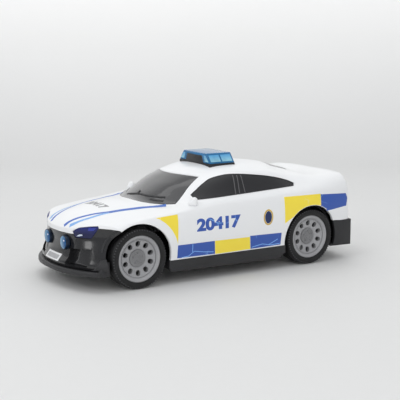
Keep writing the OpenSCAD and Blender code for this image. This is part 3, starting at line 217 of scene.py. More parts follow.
def guide_stations():
    """Places along the car, each with half a section: sill, side, shoulder, waist, rail and crown."""
    nose, tail, low, front = size("nose_x"), size("tail_x"), size("tail_lip_z"), size("nose_z")
    sill, lip, cowl, waist = size("sill_z"), size("lip_z"), size("cowl_z"), size("waist_z")
    roof, deck = size("roof_z"), size("tail_z")
    # Place, four insets from the half width, half width at the rail, and the six heights
    stations = [
        (nose, 1.6, 1.8, 2.7, 9.5, 22, lip + 0.4, lip + 2.6, lip + 5, lip + 6.8, front + 0.8, front),
        (nose - 4, 1.5, 1.3, 2.4, 8, 24, lip - 2, lip + 2, lip + 6.2, front + 5.2, front + 3.6, front + 3.6),
        (nose - 12, 1.5, 0.6, 2, 7, 26, sill, lip - 1, lip + 7.9, front + 6.1, front + 5.9, front + 7.2),
        (nose - 26, 1.8, 0.3, 1.8, 6.4, 27.5, sill, lip - 3, cowl - 6.4, cowl - 5.4, cowl - 4.9, cowl - 2.6),
        (nose - 42, 1.8, 0.2, 1.6, 6, 29, sill, lip - 4, cowl - 5.3, cowl - 3.5, cowl - 3.1, cowl - 0.7),
        (47.5, 1.8, 0, 1.6, 6.2, 30, sill, lip - 4, cowl - 4.3, cowl - 1.5, cowl - 1.6, cowl),
        (38.5, 1.8, 0, 1.5, 5.8, 30, sill, lip - 4, waist - 5.4, waist - 1.7, cowl + 3, cowl + 5),
        (28.5, 1.8, 0, 1.4, 5.4, 30, sill, lip - 4, waist - 4.6, waist - 0.6, roof - 11.7, roof - 9.8),
        (17, 1.8, 0, 1.3, 5, 30.5, sill, lip - 4, waist - 4.4, waist - 0.1, roof - 8, roof - 4.2),
        (0, 1.8, 0, 1.2, 4.8, 31.5, sill, lip - 4, waist - 4, waist + 0.3, roof - 4.7, roof - 0.8),
        (-20, 1.8, 0, 1, 5, 32, sill, lip - 4, waist - 3.6, waist + 1, roof - 4.2, roof),
        (-40, 1.8, -0.2, 0.9, 5.2, 32, sill, lip - 4, waist - 2.8, waist + 1.8, roof - 5.4, roof - 0.9),
        (-55, 1.7, -0.3, 0.7, 5.6, 31.2, sill, lip - 4, waist - 2.2, waist + 2.5, roof - 8.6, roof - 2.9),
        (-66, 1.6, -0.4, 0.7, 6.2, 31.2, sill, lip - 3, waist - 1.8, waist + 3.3, deck + 0.2, deck + 3.9),
        (-77, 1.6, 0, 1.1, 6.6, 31.8, low - 6, lip - 1, waist - 1.6, waist + 4.2, deck - 1, deck - 0.7),
        (-87, 1.6, 0.5, 1.7, 6.7, 32.4, low, lip + 2, waist - 1.4, waist + 4.8, deck - 1, deck - 1.2),
        (-tail + 7, 2, 1.9, 2.9, 7, 32.6, low, lip + 4, waist - 1.6, waist + 5.2, deck - 0.2, deck),
        (-tail + 1.2, 2.8, 2.9, 4, 8, 32, low, lip + 4, waist - 2, waist + 4.6, deck - 0.9, deck - 0.6),
        (-tail, 3.4, 3.6, 5, 9, 31, low + 0.4, lip + 4, waist - 2.4, waist + 3.6, deck - 1.9, deck - 1.6),
    ]
    table = np.array(stations, float)
    widths = np.column_stack([size("half_width") - table[:, 1:5], table[:, 5], np.zeros(len(table))])
    return table[:, 0], np.stack([widths, table[:, 6:]], axis=2)


BODY_STEPS = (6, 6, 8, 10, 12)
SKIN = 0.07


def body_section(guides, s, lift):
    """A whole section at one station, from the right sill over the crown to the left, moved out by lift."""
    p = smooth(guides[1], guides[0], s)
    q = np.vstack([p, [(-p[4][0], p[4][1])]])
    keys = np.concatenate([[0], np.cumsum(np.linalg.norm(np.diff(q, axis=0), axis=1))])
    half = [
        smooth(q, keys, keys[i] + (keys[i + 1] - keys[i]) * j / steps)
        for i, steps in enumerate(BODY_STEPS)
        for j in range(steps)
    ] + [p[5]]
    whole = np.array([(-y, z) for y, z in half] + [(y, z) for y, z in half[-2::-1]])
    return whole + (lift - SKIN) * normals(whole)


def bowed(s, y):
    """Where a station's point lies along the car: the nose and the tail bend towards the middle."""
    front = size("nose_bow") * ease((s + 35) / 55)
    rear = size("tail_bow") * ease((-55 - s) / (size("tail_x") - 55))
    return s + (rear - front) * bow_share(y)


def body_rows(lift=0.0, start=None, end=None, pitch=1.5, low=0, ends=False):
    """Rows of points on the body from nose to tail; low leaves out points at each sill."""
    guides = guide_stations()
    first = size("nose_x") if start is None else start
    last = -size("tail_x") if end is None else end
    count = int(round((first - last) / pitch))
    rows = []
    for i in range(count + 1):
        s = first + (last - first) * i / count
        section = body_section(guides, s, lift)
        rows.append([(bowed(s, y), y, z) for y, z in section[low : len(section) - low]])
    if ends:
        rows.insert(0, [(x, y, size("lip_z")) for x, y, z in rows[0]])
        rows.append([(x, y, size("tail_lip_z")) for x, y, z in rows[-1]])
    return rows


FASCIA_LOW_Z = 13.5
FASCIA_BACK_X = 78.2
FASCIA_PITCH = 0.6


def fascia_rows(forward=0.0):
    """Rows of points on the nose below the hood, from its lower edge up, moved forward by so much."""
    nose, lip, bow = size("nose_x"), size("lip_z"), size("nose_bow")
    # Height, front, bow and swell of the cheeks
    levels = np.array(
        [
            (FASCIA_LOW_Z, nose + 2.4, 17, 0),
            (FASCIA_LOW_Z + 2.4, nose + 3.1, 17.4, 0.2),
            (FASCIA_LOW_Z + 6.2, nose + 0.4, 19, 2.6),
            (FASCIA_LOW_Z + 13, nose - 0.8, 20.5, 2.4),
            (lip - 3, nose - 0.3, 21.6, 0.7),
            (lip, nose, bow, 0),
            (lip + 5.1, nose, bow, 0),
        ]
    )
    low, top = levels[0][0], levels[-1][0]
    count = int(round((top - low) / FASCIA_PITCH))
    rows = []
    for i in range(count + 1):
        z = low + (top - low) * i / count
        front, bend, swell = smooth(levels[:, 1:], levels[:, 0], z)
        row = []
        for j in range(BAND_COLUMNS):
            y = BAND_HALF * (2 * j / (BAND_COLUMNS - 1) - 1)
            row.append((front - bend * bow_share(y) + swell * ease((abs(y) - 15) / 11) + forward, y, z))
        sides = np.linspace(FASCIA_BACK_X, row[0][0], 4)[:-1]
        left = [(x, -BAND_HALF, z) for x in sides]
        right = [(x, BAND_HALF, z) for x in sides[::-1]]
        rows.append(left + row + right)
    return rows


def lens_rows():
    """Rows of points on the headlamps' faces."""
    front, bow = size("nose_x") - 0.3, size("nose_bow")
    return [
        [
            (front - bow * bow_share(y) + 0.7 * cos((abs(y) - 27.5) / 6) * cos((z - 36) / 3.4), y, z)
            for y in np.linspace(-BAND_HALF, BAND_HALF, BAND_COLUMNS)
        ]
        for z in np.linspace(30, 42, 25)
    ]


def tail_rows(forward, low, high):
    """Rows of points on the tail between two heights, half a millimetre apart, moved forward by so much."""
    back, bow = -size("tail_x") + forward, size("tail_bow")
    return [
        [(back + bow * bow_share(y), y, z) for y in np.linspace(BAND_HALF, -BAND_HALF, BAND_COLUMNS)]
        for z in np.linspace(low, high, int(round(2 * (high - low))) + 1)
    ]


def shifted(rows, forward, spread=1.0):
    """Rows of points moved forward and spread sideways."""
    return [[(x + forward, y * spread, z) for x, y, z in row] for row in rows]


def inset_outline(outline, distance):
    """A closed outline moved in by distance, whichever way it runs."""
    p = np.array(outline, float)
    area = np.sum(p[:, 0] * np.roll(p[:, 1], -1) - np.roll(p[:, 0], -1) * p[:, 1])
    moved = []
    for i in range(len(p)):
        a = p[i] - p[i - 1]
        b = p[(i + 1) % len(p)] - p[i]
        na = np.array((-a[1], a[0])) / np.linalg.norm(a)
        nb = np.array((-b[1], b[0])) / np.linalg.norm(b)
        moved.append(p[i] + np.sign(area) * distance * (na + nb) / (1 + max(np.dot(na, nb), -0.6)))
    return moved


def ribbon(points, start, end=None):
    """The outline of a band along a line of points, its width running from start to end."""
    p = np.array(points, float)
    half = np.linspace(start, start if end is None else end, len(p))[:, None] / 2
    out = normals(p)
    return list(p + out * half) + list((p - out * half)[::-1])


def trapezoid(low, high, half, top_half=None):
    """An upright outline about the middle plane, as (y, z), half as wide as half says."""
    top = half if top_half is None else top_half
    return [(-half, low), (half, low), (top, high), (-top, high)]


def arc(centre, radius, start, end, steps):
    """Points on a circle's arc, from start to end in degrees."""
    angles = [radians(start + (end - start) * i / steps) for i in range(steps + 1)]
    return [(centre[0] + radius * cos(a), centre[1] + radius * sin(a)) for a in angles]


def side_window_outline():
    """The side pane seen from the side, as (x, z)."""
    waist, roof = size("waist_z"), size("roof_z")
    front = [(23.2, waist + 1.9), (19.4, roof - 14), (12.6, roof - 10.2), (4, roof - 6.9), (-10, roof - 5.2)]
    top = front + [(-34, roof - 7.7), (-50, roof - 11.3), (-56.5, waist + 4.2)]
    return [(22.2, waist - 1)] + [tuple(p) for p in curve_through(top, 6)] + [(-54.8, waist + 2.4)]


SCREEN_LOW_X = 50.2
SCREEN_LOW_Y = 34.2
SCREEN_CORNER_X = 34.3
SCREEN_TOP_X = 20
SCREEN_TOP_CORNER_X = 10.8
SCREEN_TOP_Y = 25.1


def screen_edge(x, corner_x, half, steps):
    """An edge of the windscreen seen from above, from one side to the other."""
    shares = np.linspace(-1, 1, 2 * steps + 1)
    return [(x - (x - corner_x) * abs(t) ** BOW_POWER, half * t) for t in shares]


def windscreen_outline():
    low = screen_edge(SCREEN_LOW_X, SCREEN_CORNER_X, SCREEN_LOW_Y, 14)
    return low + screen_edge(SCREEN_TOP_X, SCREEN_TOP_CORNER_X, SCREEN_TOP_Y, 10)[::-1]


def rear_pane_outline():
    low = [(-64.6, -20.6), (-67, -12), (-67.9, 0), (-67, 12), (-64.6, 20.6)]
    return low + [(-51.4, 17.6), (-52.2, 10), (-52.5, 0), (-52.2, -10), (-51.4, -17.6)]


def headlamp_outline():
    """A headlamp seen from the front, as (y, z)."""
    lip = size("lip_z")
    low = [(19, lip + 1.6), (19.9, lip - 0.6), (21.3, lip - 1.9), (31.6, lip - 1.6), (33.4, lip + 1.7)]
    return low + [(35.4, lip + 5.2), (35.1, lip + 6.2), (30.2, lip + 5.5), (23.5, lip + 4.2)]


def tail_lamp_outline():
    waist = size("waist_z")
    return [(16, waist - 5), (41, waist - 6), (41.6, waist - 0.8), (16, waist - 0.8)]


CORNER_Y = 32.6


def corner_outline():
    """The corner beside a headlamp where the fascia rises above the hood's lip, as (x, z)."""
    lip, x = size("lip_z"), FRONT_AXLE.x + 12.5
    line = [(0, -14), (0, 3.4), (1.3, 4.1), (5.3, 4.7), (13.3, 5.1), (40, 5.1), (40, -14)]
    return [(x + forward, lip + up) for forward, up in line]


# Modelling helpers


def deselect():
    if bpy.context.object and bpy.context.object.mode != "OBJECT":
        bpy.ops.object.mode_set(mode="OBJECT")
    bpy.ops.object.select_all(action="DESELECT")


def select(*pieces):
    deselect()
    for piece in pieces:
        piece.select_set(True)
    bpy.context.view_layer.objects.active = pieces[0]


@contextmanager
def editing(piece):
    """Edit mode on one piece with everything selected."""
    select(piece)
    bpy.ops.object.mode_set(mode="EDIT")
    bpy.ops.mesh.select_mode(type="VERT")
    bpy.ops.mesh.select_all(action="SELECT")
    yield
    bpy.ops.object.mode_set(mode="OBJECT")


def named(name):
    """The object an operator just added, with its new name."""
    piece = bpy.context.object
    piece.name = name
    piece.data.name = name
    return piece


def clean(piece, merge=0.00001):
    """Merges doubles and turns all faces outward."""
    with editing(piece):
        bpy.ops.mesh.remove_doubles(threshold=merge)
        bpy.ops.mesh.dissolve_degenerate(threshold=0.000002)
        bpy.ops.mesh.select_all(action="SELECT")
        bpy.ops.mesh.normals_make_consistent(inside=False)
    return piece


def modify(piece, kind, **settings):
    """Adds a modifier, sets it up and applies it."""
    select(piece)
    modifier = piece.modifiers.new(kind.title(), kind)
    for key, value in settings.items():
        setattr(modifier, key, value)
    bpy.ops.object.modifier_apply(modifier=modifier.name)
    return piece


def bevel(piece, width, segments=2, angle=35):
    limit = {"limit_method": "ANGLE", "angle_limit": radians(angle)}
    return modify(piece, "BEVEL", width=width * MM, segments=segments, **limit)


def shade(piece, angle):
    select(piece)
    bpy.ops.object.shade_smooth_by_angle(angle=radians(angle))


def boolean(piece, tool, operation="DIFFERENCE"):
    """Cuts, joins or keeps the common part of two closed pieces; the second is used up."""
    modify(piece, "BOOLEAN", operation=operation, solver="MANIFOLD", object=tool)
    bpy.data.objects.remove(tool)
    if not piece.data.polygons:
        raise RuntimeError(f"{piece.name} has no faces left after a boolean")
    return piece


def keep(piece, tool):
    return boolean(piece, tool, "INTERSECT")


def unite(piece, *tools):
    for tool in tools:
        boolean(piece, tool, "UNION")
    return piece


def join(pieces, name="cutter"):
    """Several meshes as one object."""
    select(*pieces)
    if len(pieces) > 1:
        bpy.ops.object.join()
    return named(name)


def copy_of(piece, name):
    """A copy with its own mesh."""
    select(piece)
    bpy.ops.object.duplicate()
    return named(name)


def sheet(name, rows, thickness=None):
    """A grid whose points are laid on rows of places, with thickness added on its inner side."""
    deselect()
    columns = len(rows[0])
    bpy.ops.mesh.primitive_grid_add(x_subdivisions=columns - 1, y_subdivisions=len(rows) - 1, size=2)
    piece = named(name)
    for vertex in piece.data.vertices:
        i = round((vertex.co.y + 1) / 2 * (len(rows) - 1))
        j = round((vertex.co.x + 1) / 2 * (columns - 1))
        vertex.co = Vector(rows[i][j]) * MM
    if thickness:
        modify(piece, "SOLIDIFY", thickness=thickness * MM, offset=-1)
    return piece


PRISM_ORDER = {"X": (2, 0, 1), "Y": (0, 2, 1), "Z": (0, 1, 2)}


def prism(outline, axis, low, high):
    """A closed outline stretched along an axis: (x, z) along Y, (y, z) along X or (x, y) along Z."""
    deselect()
    bpy.ops.mesh.primitive_circle_add(vertices=len(outline), radius=1, fill_type="NGON")
    piece = named("cutter")

    def place(*parts):
        return Vector([parts[i] for i in PRISM_ORDER[axis]]) * MM

    for vertex, (a, b) in zip(piece.data.vertices, outline):
        vertex.co = place(a, b, low)
    with editing(piece):
        bpy.ops.mesh.extrude_region_move(TRANSFORM_OT_translate={"value": place(0, 0, high - low)})
        bpy.ops.mesh.select_all(action="SELECT")
        bpy.ops.mesh.normals_make_consistent(inside=False)
    return piece


MIRROR_SIGNS = {"X": (-1, 1), "Y": (1, 1), "Z": (1, -1)}


def both_sides(outline, axis, low, high, name="cutter"):
    """A prism on the left and its twin on the right."""
    m, n = MIRROR_SIGNS[axis]
    reach = (-high, -low) if axis == "Y" else (low, high)
    left = prism(outline, axis, low, high)
    right = prism([(m * a, n * b) for a, b in outline], axis, *reach)
    return join([left, right], name)


def rod(centre, radius, axis, depth, sides=64):
    """A cylinder along X, Y or Z, its middle at centre."""
    deselect()
    turn = {"X": (0, pi / 2, 0), "Y": (pi / 2, 0, 0), "Z": (0, 0, 0)}[axis]
    bpy.ops.mesh.primitive_cylinder_add(vertices=sides, radius=radius * MM, depth=depth * MM, rotation=turn)
    bpy.ops.object.transform_apply(location=False, rotation=True, scale=True)
    piece = named("cutter")
    for vertex in piece.data.vertices:
        vertex.co += Vector(centre) * MM
    return piece


def rod_ring(turns, around, distance, radius, depth, sides=16):
    """Rods along the Y axis, in a ring about it."""
    places = [(around * cos(turn), distance, around * sin(turn)) for turn in turns]
    return join([rod(place, radius, "Y", depth, sides) for place in places])


def ball(centre, radii):
    """A ball, or an egg where the radii along X, Y and Z differ."""
    deselect()
    bpy.ops.mesh.primitive_uv_sphere_add(segments=24, ring_count=16, radius=1)
    piece = named("ball")
    for vertex in piece.data.vertices:
        vertex.co = Vector([c + r * v for c, r, v in zip(centre, radii, vertex.co)]) * MM
    return piece


def lathe(profile, steps):
    """A closed profile of (radius, distance) spun about the Y axis."""
    deselect()
    bpy.ops.mesh.primitive_circle_add(vertices=len(profile), radius=1, fill_type="NOTHING")
    piece = named("turned")
    for vertex, (radius, distance) in zip(piece.data.vertices, profile):
        vertex.co = Vector((radius, distance, 0)) * MM
    with editing(piece):
        bpy.ops.mesh.spin(steps=steps, angle=2 * pi, center=(0, 0, 0), axis=(0, 1, 0))
    return clean(piece)


def move(piece, offset):
    """Moves a piece's points, in millimetres."""
    with editing(piece):
        bpy.ops.transform.translate(value=Vector(offset) * MM)
    return piece


def mirror_y(piece):
    """Turns a piece into its mirror image across the car's middle plane."""
    with editing(piece):
        bpy.ops.transform.mirror(constraint_axis=(False, True, False), center_override=(0, 0, 0))
        bpy.ops.mesh.normals_make_consistent(inside=False)
    return piece


def twins(piece, name):
    """A left piece and its mirrored copy, each with its side's name."""
    piece.name = f"{name}_left"
    return {"left": piece, "right": mirror_y(copy_of(piece, f"{name}_right"))}


def finish(piece, look, replaces=(), angle=32, body="car"):
    """Smooth shading, material and the piece's place on the frame."""
    shade(piece, angle)
    piece.data.materials.clear()
    piece.data.materials.append(look)
    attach(piece, body)
    if replaces:
        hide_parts(*replaces)


# Materials

RELIEF_DEPTH = 0.0002
LENS_IOR = 1.46
CREASE_SCALE = 55.0
FOIL_RELIEF = 0.12
METAL_SHADE = 0.7
METAL_RELIEF = 0.05
SURFACE_OUTPUTS = {"Colour": "NodeSocketColor", "Roughness": "NodeSocketFloat", "Height": "NodeSocketFloat"}


def feed(tree, socket, value):
    """Links another socket to a socket, or gives it a plain value."""
    if isinstance(value, bpy.types.NodeSocket):
        tree.links.new(value, socket)
    else:
        socket.default_value = value


def node(tree, kind, output, inputs, **settings):
    """One output of a new shader node whose inputs and settings are given."""
    made = tree.nodes.new(f"ShaderNode{kind}")
    for key, value in settings.items():
        setattr(made, key, value)
    for socket, value in inputs.items():
        feed(tree, made.inputs[socket], value)
    return made.outputs[output]


def object_place(tree):
    return node(tree, "TexCoord", "Object", {})


def along(tree, axis):
    """Where a point lies along one of the object's axes."""
    return node(tree, "SeparateXYZ", axis, {"Vector": object_place(tree)})


def noise(tree, vector, scale, detail=3.0, roughness=0.5):
    inputs = {"Vector": vector, "Scale": scale, "Detail": detail, "Roughness": roughness}
    return node(tree, "TexNoise", "Fac", inputs)


def remap(tree, value, low, high, to_low=0.0, to_high=1.0):
    """A value from one range to another."""
    ends = {"From Min": low, "From Max": high, "To Min": to_low, "To Max": to_high}
    return node(tree, "MapRange", "Result", {"Value": value, **ends})


def blend(tree, factor, a, b):
    """A colour between two colours."""
    return node(tree, "Mix", "Result", {"Factor": factor, "A": a, "B": b}, data_type="RGBA")


def moulded_surface(group, place, given):
    """Moulded plastic or rubber: faint mottling, fine grain, and polish that comes and goes."""
    mottle = remap(group, noise(group, place, given["Mottle Scale"], 4.0), 0.35, 0.7)
    polish = noise(group, place, 130.0, 5.0, 0.6)
    return (
        blend(group, mottle, given["Colour"], given["Shade"]),
        remap(group, polish, 0.3, 0.7, given["Polish Low"], given["Polish High"]),
        noise(group, place, given["Grain Scale"], 2.0),
    )


def sticker_print(group, place, given):
    """Printed foil: thin creases in relief whose pale lines are painted highlight, and a soft waviness."""
    warp = node(group, "TexNoise", "Color", {"Vector": place, "Scale": 60.0})
    reach = (0.006, 0.006, 0.006)
    wander = node(group, "VectorMath", "Vector", {0: warp, 1: reach, 2: place}, operation="MULTIPLY_ADD")
    cells = {"Vector": wander, "Scale": given["Crease Scale"]}
    edge = node(group, "TexVoronoi", "Distance", cells, feature="DISTANCE_TO_EDGE")
    line = remap(group, edge, 0.0, 0.022, 1.0, 0.0)
    where = remap(group, noise(group, place, 45.0), 0.52, 0.64)
    crease_and_sheen = node(group, "Math", "Value", {0: line, 1: where}, operation="MULTIPLY")
    waves = noise(group, place, 120.0, 2.0)
    ink = blend(group, crease_and_sheen, given["Colour"], given["Crease"])
    return ink, remap(group, waves, 0.3, 0.7, 0.28, 0.42), crease_and_sheen


def drawn_metal(group, place, given):
    """Drawn metal: streaks along the piece and uneven shine."""
    stretched = node(group, "Mapping", "Vector", {"Vector": place, "Scale": (3.0, 0.15, 3.0)})
    streak = noise(group, stretched, 900.0)
    blot = noise(group, place, 160.0)
    tone = blend(group, blot, given["Colour"], given["Shade"])
    return tone, remap(group, blot, 0.3, 0.7, 0.22, 0.42), streak


def surface_group(fill, settings):
    """The node group that a function fills, built once; settings give its inputs."""
    name = fill.__name__.replace("_", " ").title()
    if name in bpy.data.node_groups:
        return bpy.data.node_groups[name]
    group = bpy.data.node_groups.new(name, "ShaderNodeTree")
    for socket, value in settings.items():
        kind = "NodeSocketColor" if isinstance(value, tuple) else "NodeSocketFloat"
        group.interface.new_socket(name=socket, in_out="INPUT", socket_type=kind).default_value = value
    for socket, kind in SURFACE_OUTPUTS.items():
        group.interface.new_socket(name=socket, in_out="OUTPUT", socket_type=kind)
    given = group.nodes.new("NodeGroupInput").outputs
    made = group.nodes.new("NodeGroupOutput").inputs
    for socket, source in zip(SURFACE_OUTPUTS, fill(group, object_place(group), given)):
        group.links.new(source, made[socket])
    return group


def material(name, fill, settings, bump, plain):
    """A material whose look comes from a node group; plain gives the shader's own sockets."""
    if name in bpy.data.materials:
        return bpy.data.materials[name]
    made = bpy.data.materials.new(name)
    made.use_nodes = True
    tree = made.node_tree
    look = tree.nodes.new("ShaderNodeGroup")
    look.node_tree = surface_group(fill, settings)
    for socket, value in settings.items():
        look.inputs[socket].default_value = value
    relief = {"Strength": bump, "Distance": RELIEF_DEPTH, "Height": look.outputs["Height"]}
    sockets = {
        "Base Color": look.outputs["Colour"],
        "Roughness": look.outputs["Roughness"],
        "Normal": node(tree, "Bump", "Normal", relief),
        **plain,
    }
    for socket, value in sockets.items():
        feed(tree, tree.nodes["Principled BSDF"].inputs[socket], value)
    return made


def graded(look, axis, low, high, rgba):
    """Lets a material's colour run into another one along an axis, from low to high in millimetres."""
    tree = look.node_tree
    target = tree.nodes["Principled BSDF"].inputs["Base Color"]
    share = remap(tree, along(tree, axis), low * MM, high * MM)
    feed(tree, target, blend(tree, share, target.links[0].from_socket, rgba))
    return look


def clear(transmission):
    """The plain sockets of a clear plastic."""
    return {"Transmission Weight": transmission, "IOR": LENS_IOR}


# Colour and its tint; polish from and to; shade of the mottling; scales of mottling and grain; relief;
# plain sockets
PLASTICS = {
    "White Plastic": ("white", 1, 0.275, 0.285, 0.985, 4, 700, 0.001, {"Coat Weight": 0.1}),
    "Dark Window": ("glass", 1, 0.06, 0.16, 0.8, 30, 500, 0.02, {"Coat Weight": 0.4}),
    # Side Window: the window moulding as a darker copy, painted shade on the side panes, rough to spread
    # reflections
    "Side Window": ("glass", 0.75, 0.42, 0.5, 0.8, 30, 500, 0.02, {}),
    "Pillar Ridge": ("ridge", 1, 0.3, 0.45, 0.85, 40, 1500, 0.06, {}),
    "Black Trim": ("trim", 1, 0.36, 0.5, 0.75, 45, 1800, 0.18, {}),
    "Gloss Black": ("fascia", 1, 0.13, 0.22, 0.8, 45, 900, 0.02, {"Coat Weight": 0.4}),
    "Tyre": ("tyre", 1, 0.45, 0.65, 1.3, 90, 2200, 0.2, {}),
    "Tyre Stud": ("stud", 1, 0.35, 0.5, 0.8, 90, 2200, 0.05, {}),
    "Rim": ("rim", 1, 0.34, 0.46, 0.86, 60, 1600, 0.12, {"Metallic": 0.15}),
    "Hub": ("rim", 0.62, 0.3, 0.42, 0.8, 120, 1600, 0.12, {"Metallic": 0.15}),
    "Plate White": ("white", 1, 0.3, 0.45, 0.9, 120, 900, 0.05, {}),
    "Plate Grey": ("rim", 1.2, 0.35, 0.5, 0.7, 500, 900, 0.05, {}),
    "Lamp Diode": ("glint", 1, 0.1, 0.2, 0.85, 200, 500, 0.02, {"Coat Weight": 0.5}),
    "Lamp Ring": ("lamp_ring", 1, 0.3, 0.4, 0.7, 60, 400, 0.02, {}),
    "Bar Cell": ("cell", 1, 0.12, 0.25, 0.72, 260, 500, 0.02, {"Coat Weight": 0.3}),
    "Headlamp Lens": ("headlamp", 1, 0.04, 0.1, 0.6, 60, 400, 0.02, clear(0.1)),
    "Headlamp Facet": ("headlamp", 2.2, 0.04, 0.1, 0.8, 60, 400, 0.02, clear(0.1)),
    "Grille Lamp Left": ("lamp", 1, 0.04, 0.1, 0.8, 60, 400, 0.02, clear(0.15)),
    "Grille Lamp Right": ("lamp", 1, 0.04, 0.1, 0.8, 60, 400, 0.02, clear(0.15)),
    "Tail Lamp": ("tail_lamp", 1, 0.04, 0.1, 0.6, 60, 400, 0.02, clear(0.3)),
    "Bar Lens": ("lens", 1, 0.04, 0.1, 0.85, 60, 400, 0.02, clear(0.5)),
    "Studio Paper": ("floor", 1, 0.6, 0.75, 0.985, 3, 300, 0, {"Emission Strength": 1}),
}


def moulding(name, rgba, low, high, share, mottle, grain, bump, plain):
    """A moulded plastic in one colour, with its polish from low to high."""
    settings = {
        "Colour": rgba,
        "Shade": shaded(rgba, share),
        "Mottle Scale": mottle,
        "Grain Scale": grain,
        "Polish Low": low,
        "Polish High": high,
    }
    return material(name, moulded_surface, settings, bump, plain)


def plastic(name):
    """One of the plastics in the table."""
    pigment, tint, *rest = PLASTICS[name]
    return moulding(name, paint(pigment, tint), *rest)


# Colour and tint of the print, and of the painted highlight along its creases
FOILS = {
    "Blue Foil": ("blue", 1, "pale_blue", 1.3),
    "Yellow Foil": ("yellow", 1, "white", 1),
    "Fold": ("pale_blue", 1.25, "white", 1),
    "Pale Blue Foil": ("pale_blue", 1, "white", 1),
    "Hood Foil": ("hood_blue", 1, "pale_blue", 1),
    "Grey Print": ("rim", 0.7, "white", 1),
    "Gold Foil": ("gold", 1, "gold", 1.5),
    "Dark Foil": ("blue", 0.25, "blue", 1),
}


def foil(name):
    """One of the foils in the table."""
    ink, tint, crease_and_sheen, sheen_tint = FOILS[name]
    settings = {
        "Colour": paint(ink, tint),
        "Crease": paint(crease_and_sheen, sheen_tint),
        "Crease Scale": CREASE_SCALE,
    }
    return material(name, sticker_print, settings, FOIL_RELIEF, {})


def metal(name, rgba):
    settings = {"Colour": rgba, "Shade": shaded(rgba, METAL_SHADE)}
    return material(name, drawn_metal, settings, METAL_RELIEF, {"Metallic": 1.0})


# Pieces

# How far the cutters reach, across the car, along it or up
FLANK = (25, 80)
CHEEK = (28, 80)
NOSE = (70, 120)
TAIL = (-120, -80)
ABOVE_SCREEN = (46, 120)
ABOVE_REAR = (54, 120)
LAMP_OPENING = (82, 130)
TAIL_OPENING = (-130, -94)
HOOD = (30, 80)


class ToyCarOperator:
    """What every piece's operator has in common."""

    bl_options = {"REGISTER", "UNDO"}

    @classmethod
    def poll(cls, context):
        return context.mode == "OBJECT"


def door_mirror():
    """A rounded housing at the front corner of the left side window."""
    waist = size("waist_z")
    places = (((27.2, 41.2, waist - 2.3), 3.2), ((25, 42.3, waist - 2), 4.2), ((25, 42.1, waist - 0.5), 4.3))
    piece = join([ball(centre, [diameter / 2] * 3) for centre, diameter in places])
    with editing(piece):
        bpy.ops.mesh.convex_hull()
    return clean(piece)


ARCH_DEPTH = 200
ARCH_SIDES = 128


def arches():
    """Cylinders through both wheel openings."""
    radius, axles = size("arch_radius"), (FRONT_AXLE, REAR_AXLE)
    return join([rod((axle.x, 0, axle.z), radius, "Y", ARCH_DEPTH, ARCH_SIDES) for axle in axles])


def headlamp_openings():
    return both_sides(inset_outline(headlamp_outline(), -size("fit_gap")), "X", *LAMP_OPENING)


BAR_GAP = 0.35
WELL_DEPTH = 12
WELL_RISE = 20
SHELL_EDGE = 0.7


class TOYCAR_OT_body_shell(ToyCarOperator, bpy.types.Operator):
    """Lays the white shell over its guide sections and cuts its openings"""

    bl_idname = "toycar.body_shell"
    bl_label = "Body Shell"

    def execute(self, context):
        shell = sheet("shell", body_rows(ends=True))
        bevel(shell, SHELL_EDGE, segments=3, angle=50)
        modify(shell, "SOLIDIFY", thickness=size("wall") * MM, offset=-1)
        unite(shell, door_mirror(), mirror_y(door_mirror()))
        front, half, roof = size("bar_front_x") + BAR_GAP, size("bar_width") / 2 + BAR_GAP, size("roof_z")
        back = size("bar_front_x") - size("bar_length") - BAR_GAP
        first = [
            both_sides(corner_outline(), "Y", CORNER_Y, FLANK[1]),
            prism(trapezoid(roof - WELL_DEPTH, roof + WELL_RISE, half), "X", back, front),
            prism(rear_pane_outline(), "Z", *ABOVE_REAR),
            both_sides(inset_outline(tail_lamp_outline(), -size("fit_gap")), "X", *TAIL_OPENING),
        ]
        second = [prism(windscreen_outline(), "Z", *ABOVE_SCREEN), headlamp_openings()]
        sides = both_sides(side_window_outline(), "Y", *FLANK)
        for openings in (join(first), join(second), sides, arches()):
            boolean(shell, openings)
        finish(shell, plastic("White Plastic"), ["body_shell"])
        return {"FINISHED"}


RIDGES = ([(-9.7, 64.2), (-7.3, 52.4)], [(-12.6, 64.2), (-10.3, 52.5)], [(-15.4, 64.1), (-14.7, 52.8)])
RIDGE_WIDTH = 0.55
WIPERS = (
    [(44.2, -12), (43.7, -5), (42.7, 1.8)],
    [(42.6, 3), (42.2, 8.8), (40.9, 13.1), (39.4, 17.1), (37.8, 20.8), (35.8, 23.7)],
    [(42.5, 16.1), (41.1, 20), (38.2, 25.4)],
    [(43.1, -0.8), (40.4, -1)],
)
WIPER_WIDTH = 0.9
WIPER_LIFT = 0.25
CABIN = {"start": 54, "end": -82, "low": 12}
COWL_BACK_X = 45.4
COWL_CORNER_X = 31.6
PANE_THICKNESS = 1.3
RAISED_LIFT = 0.22
RAISED_THICKNESS = 0.7
PANE_ANGLE = 40


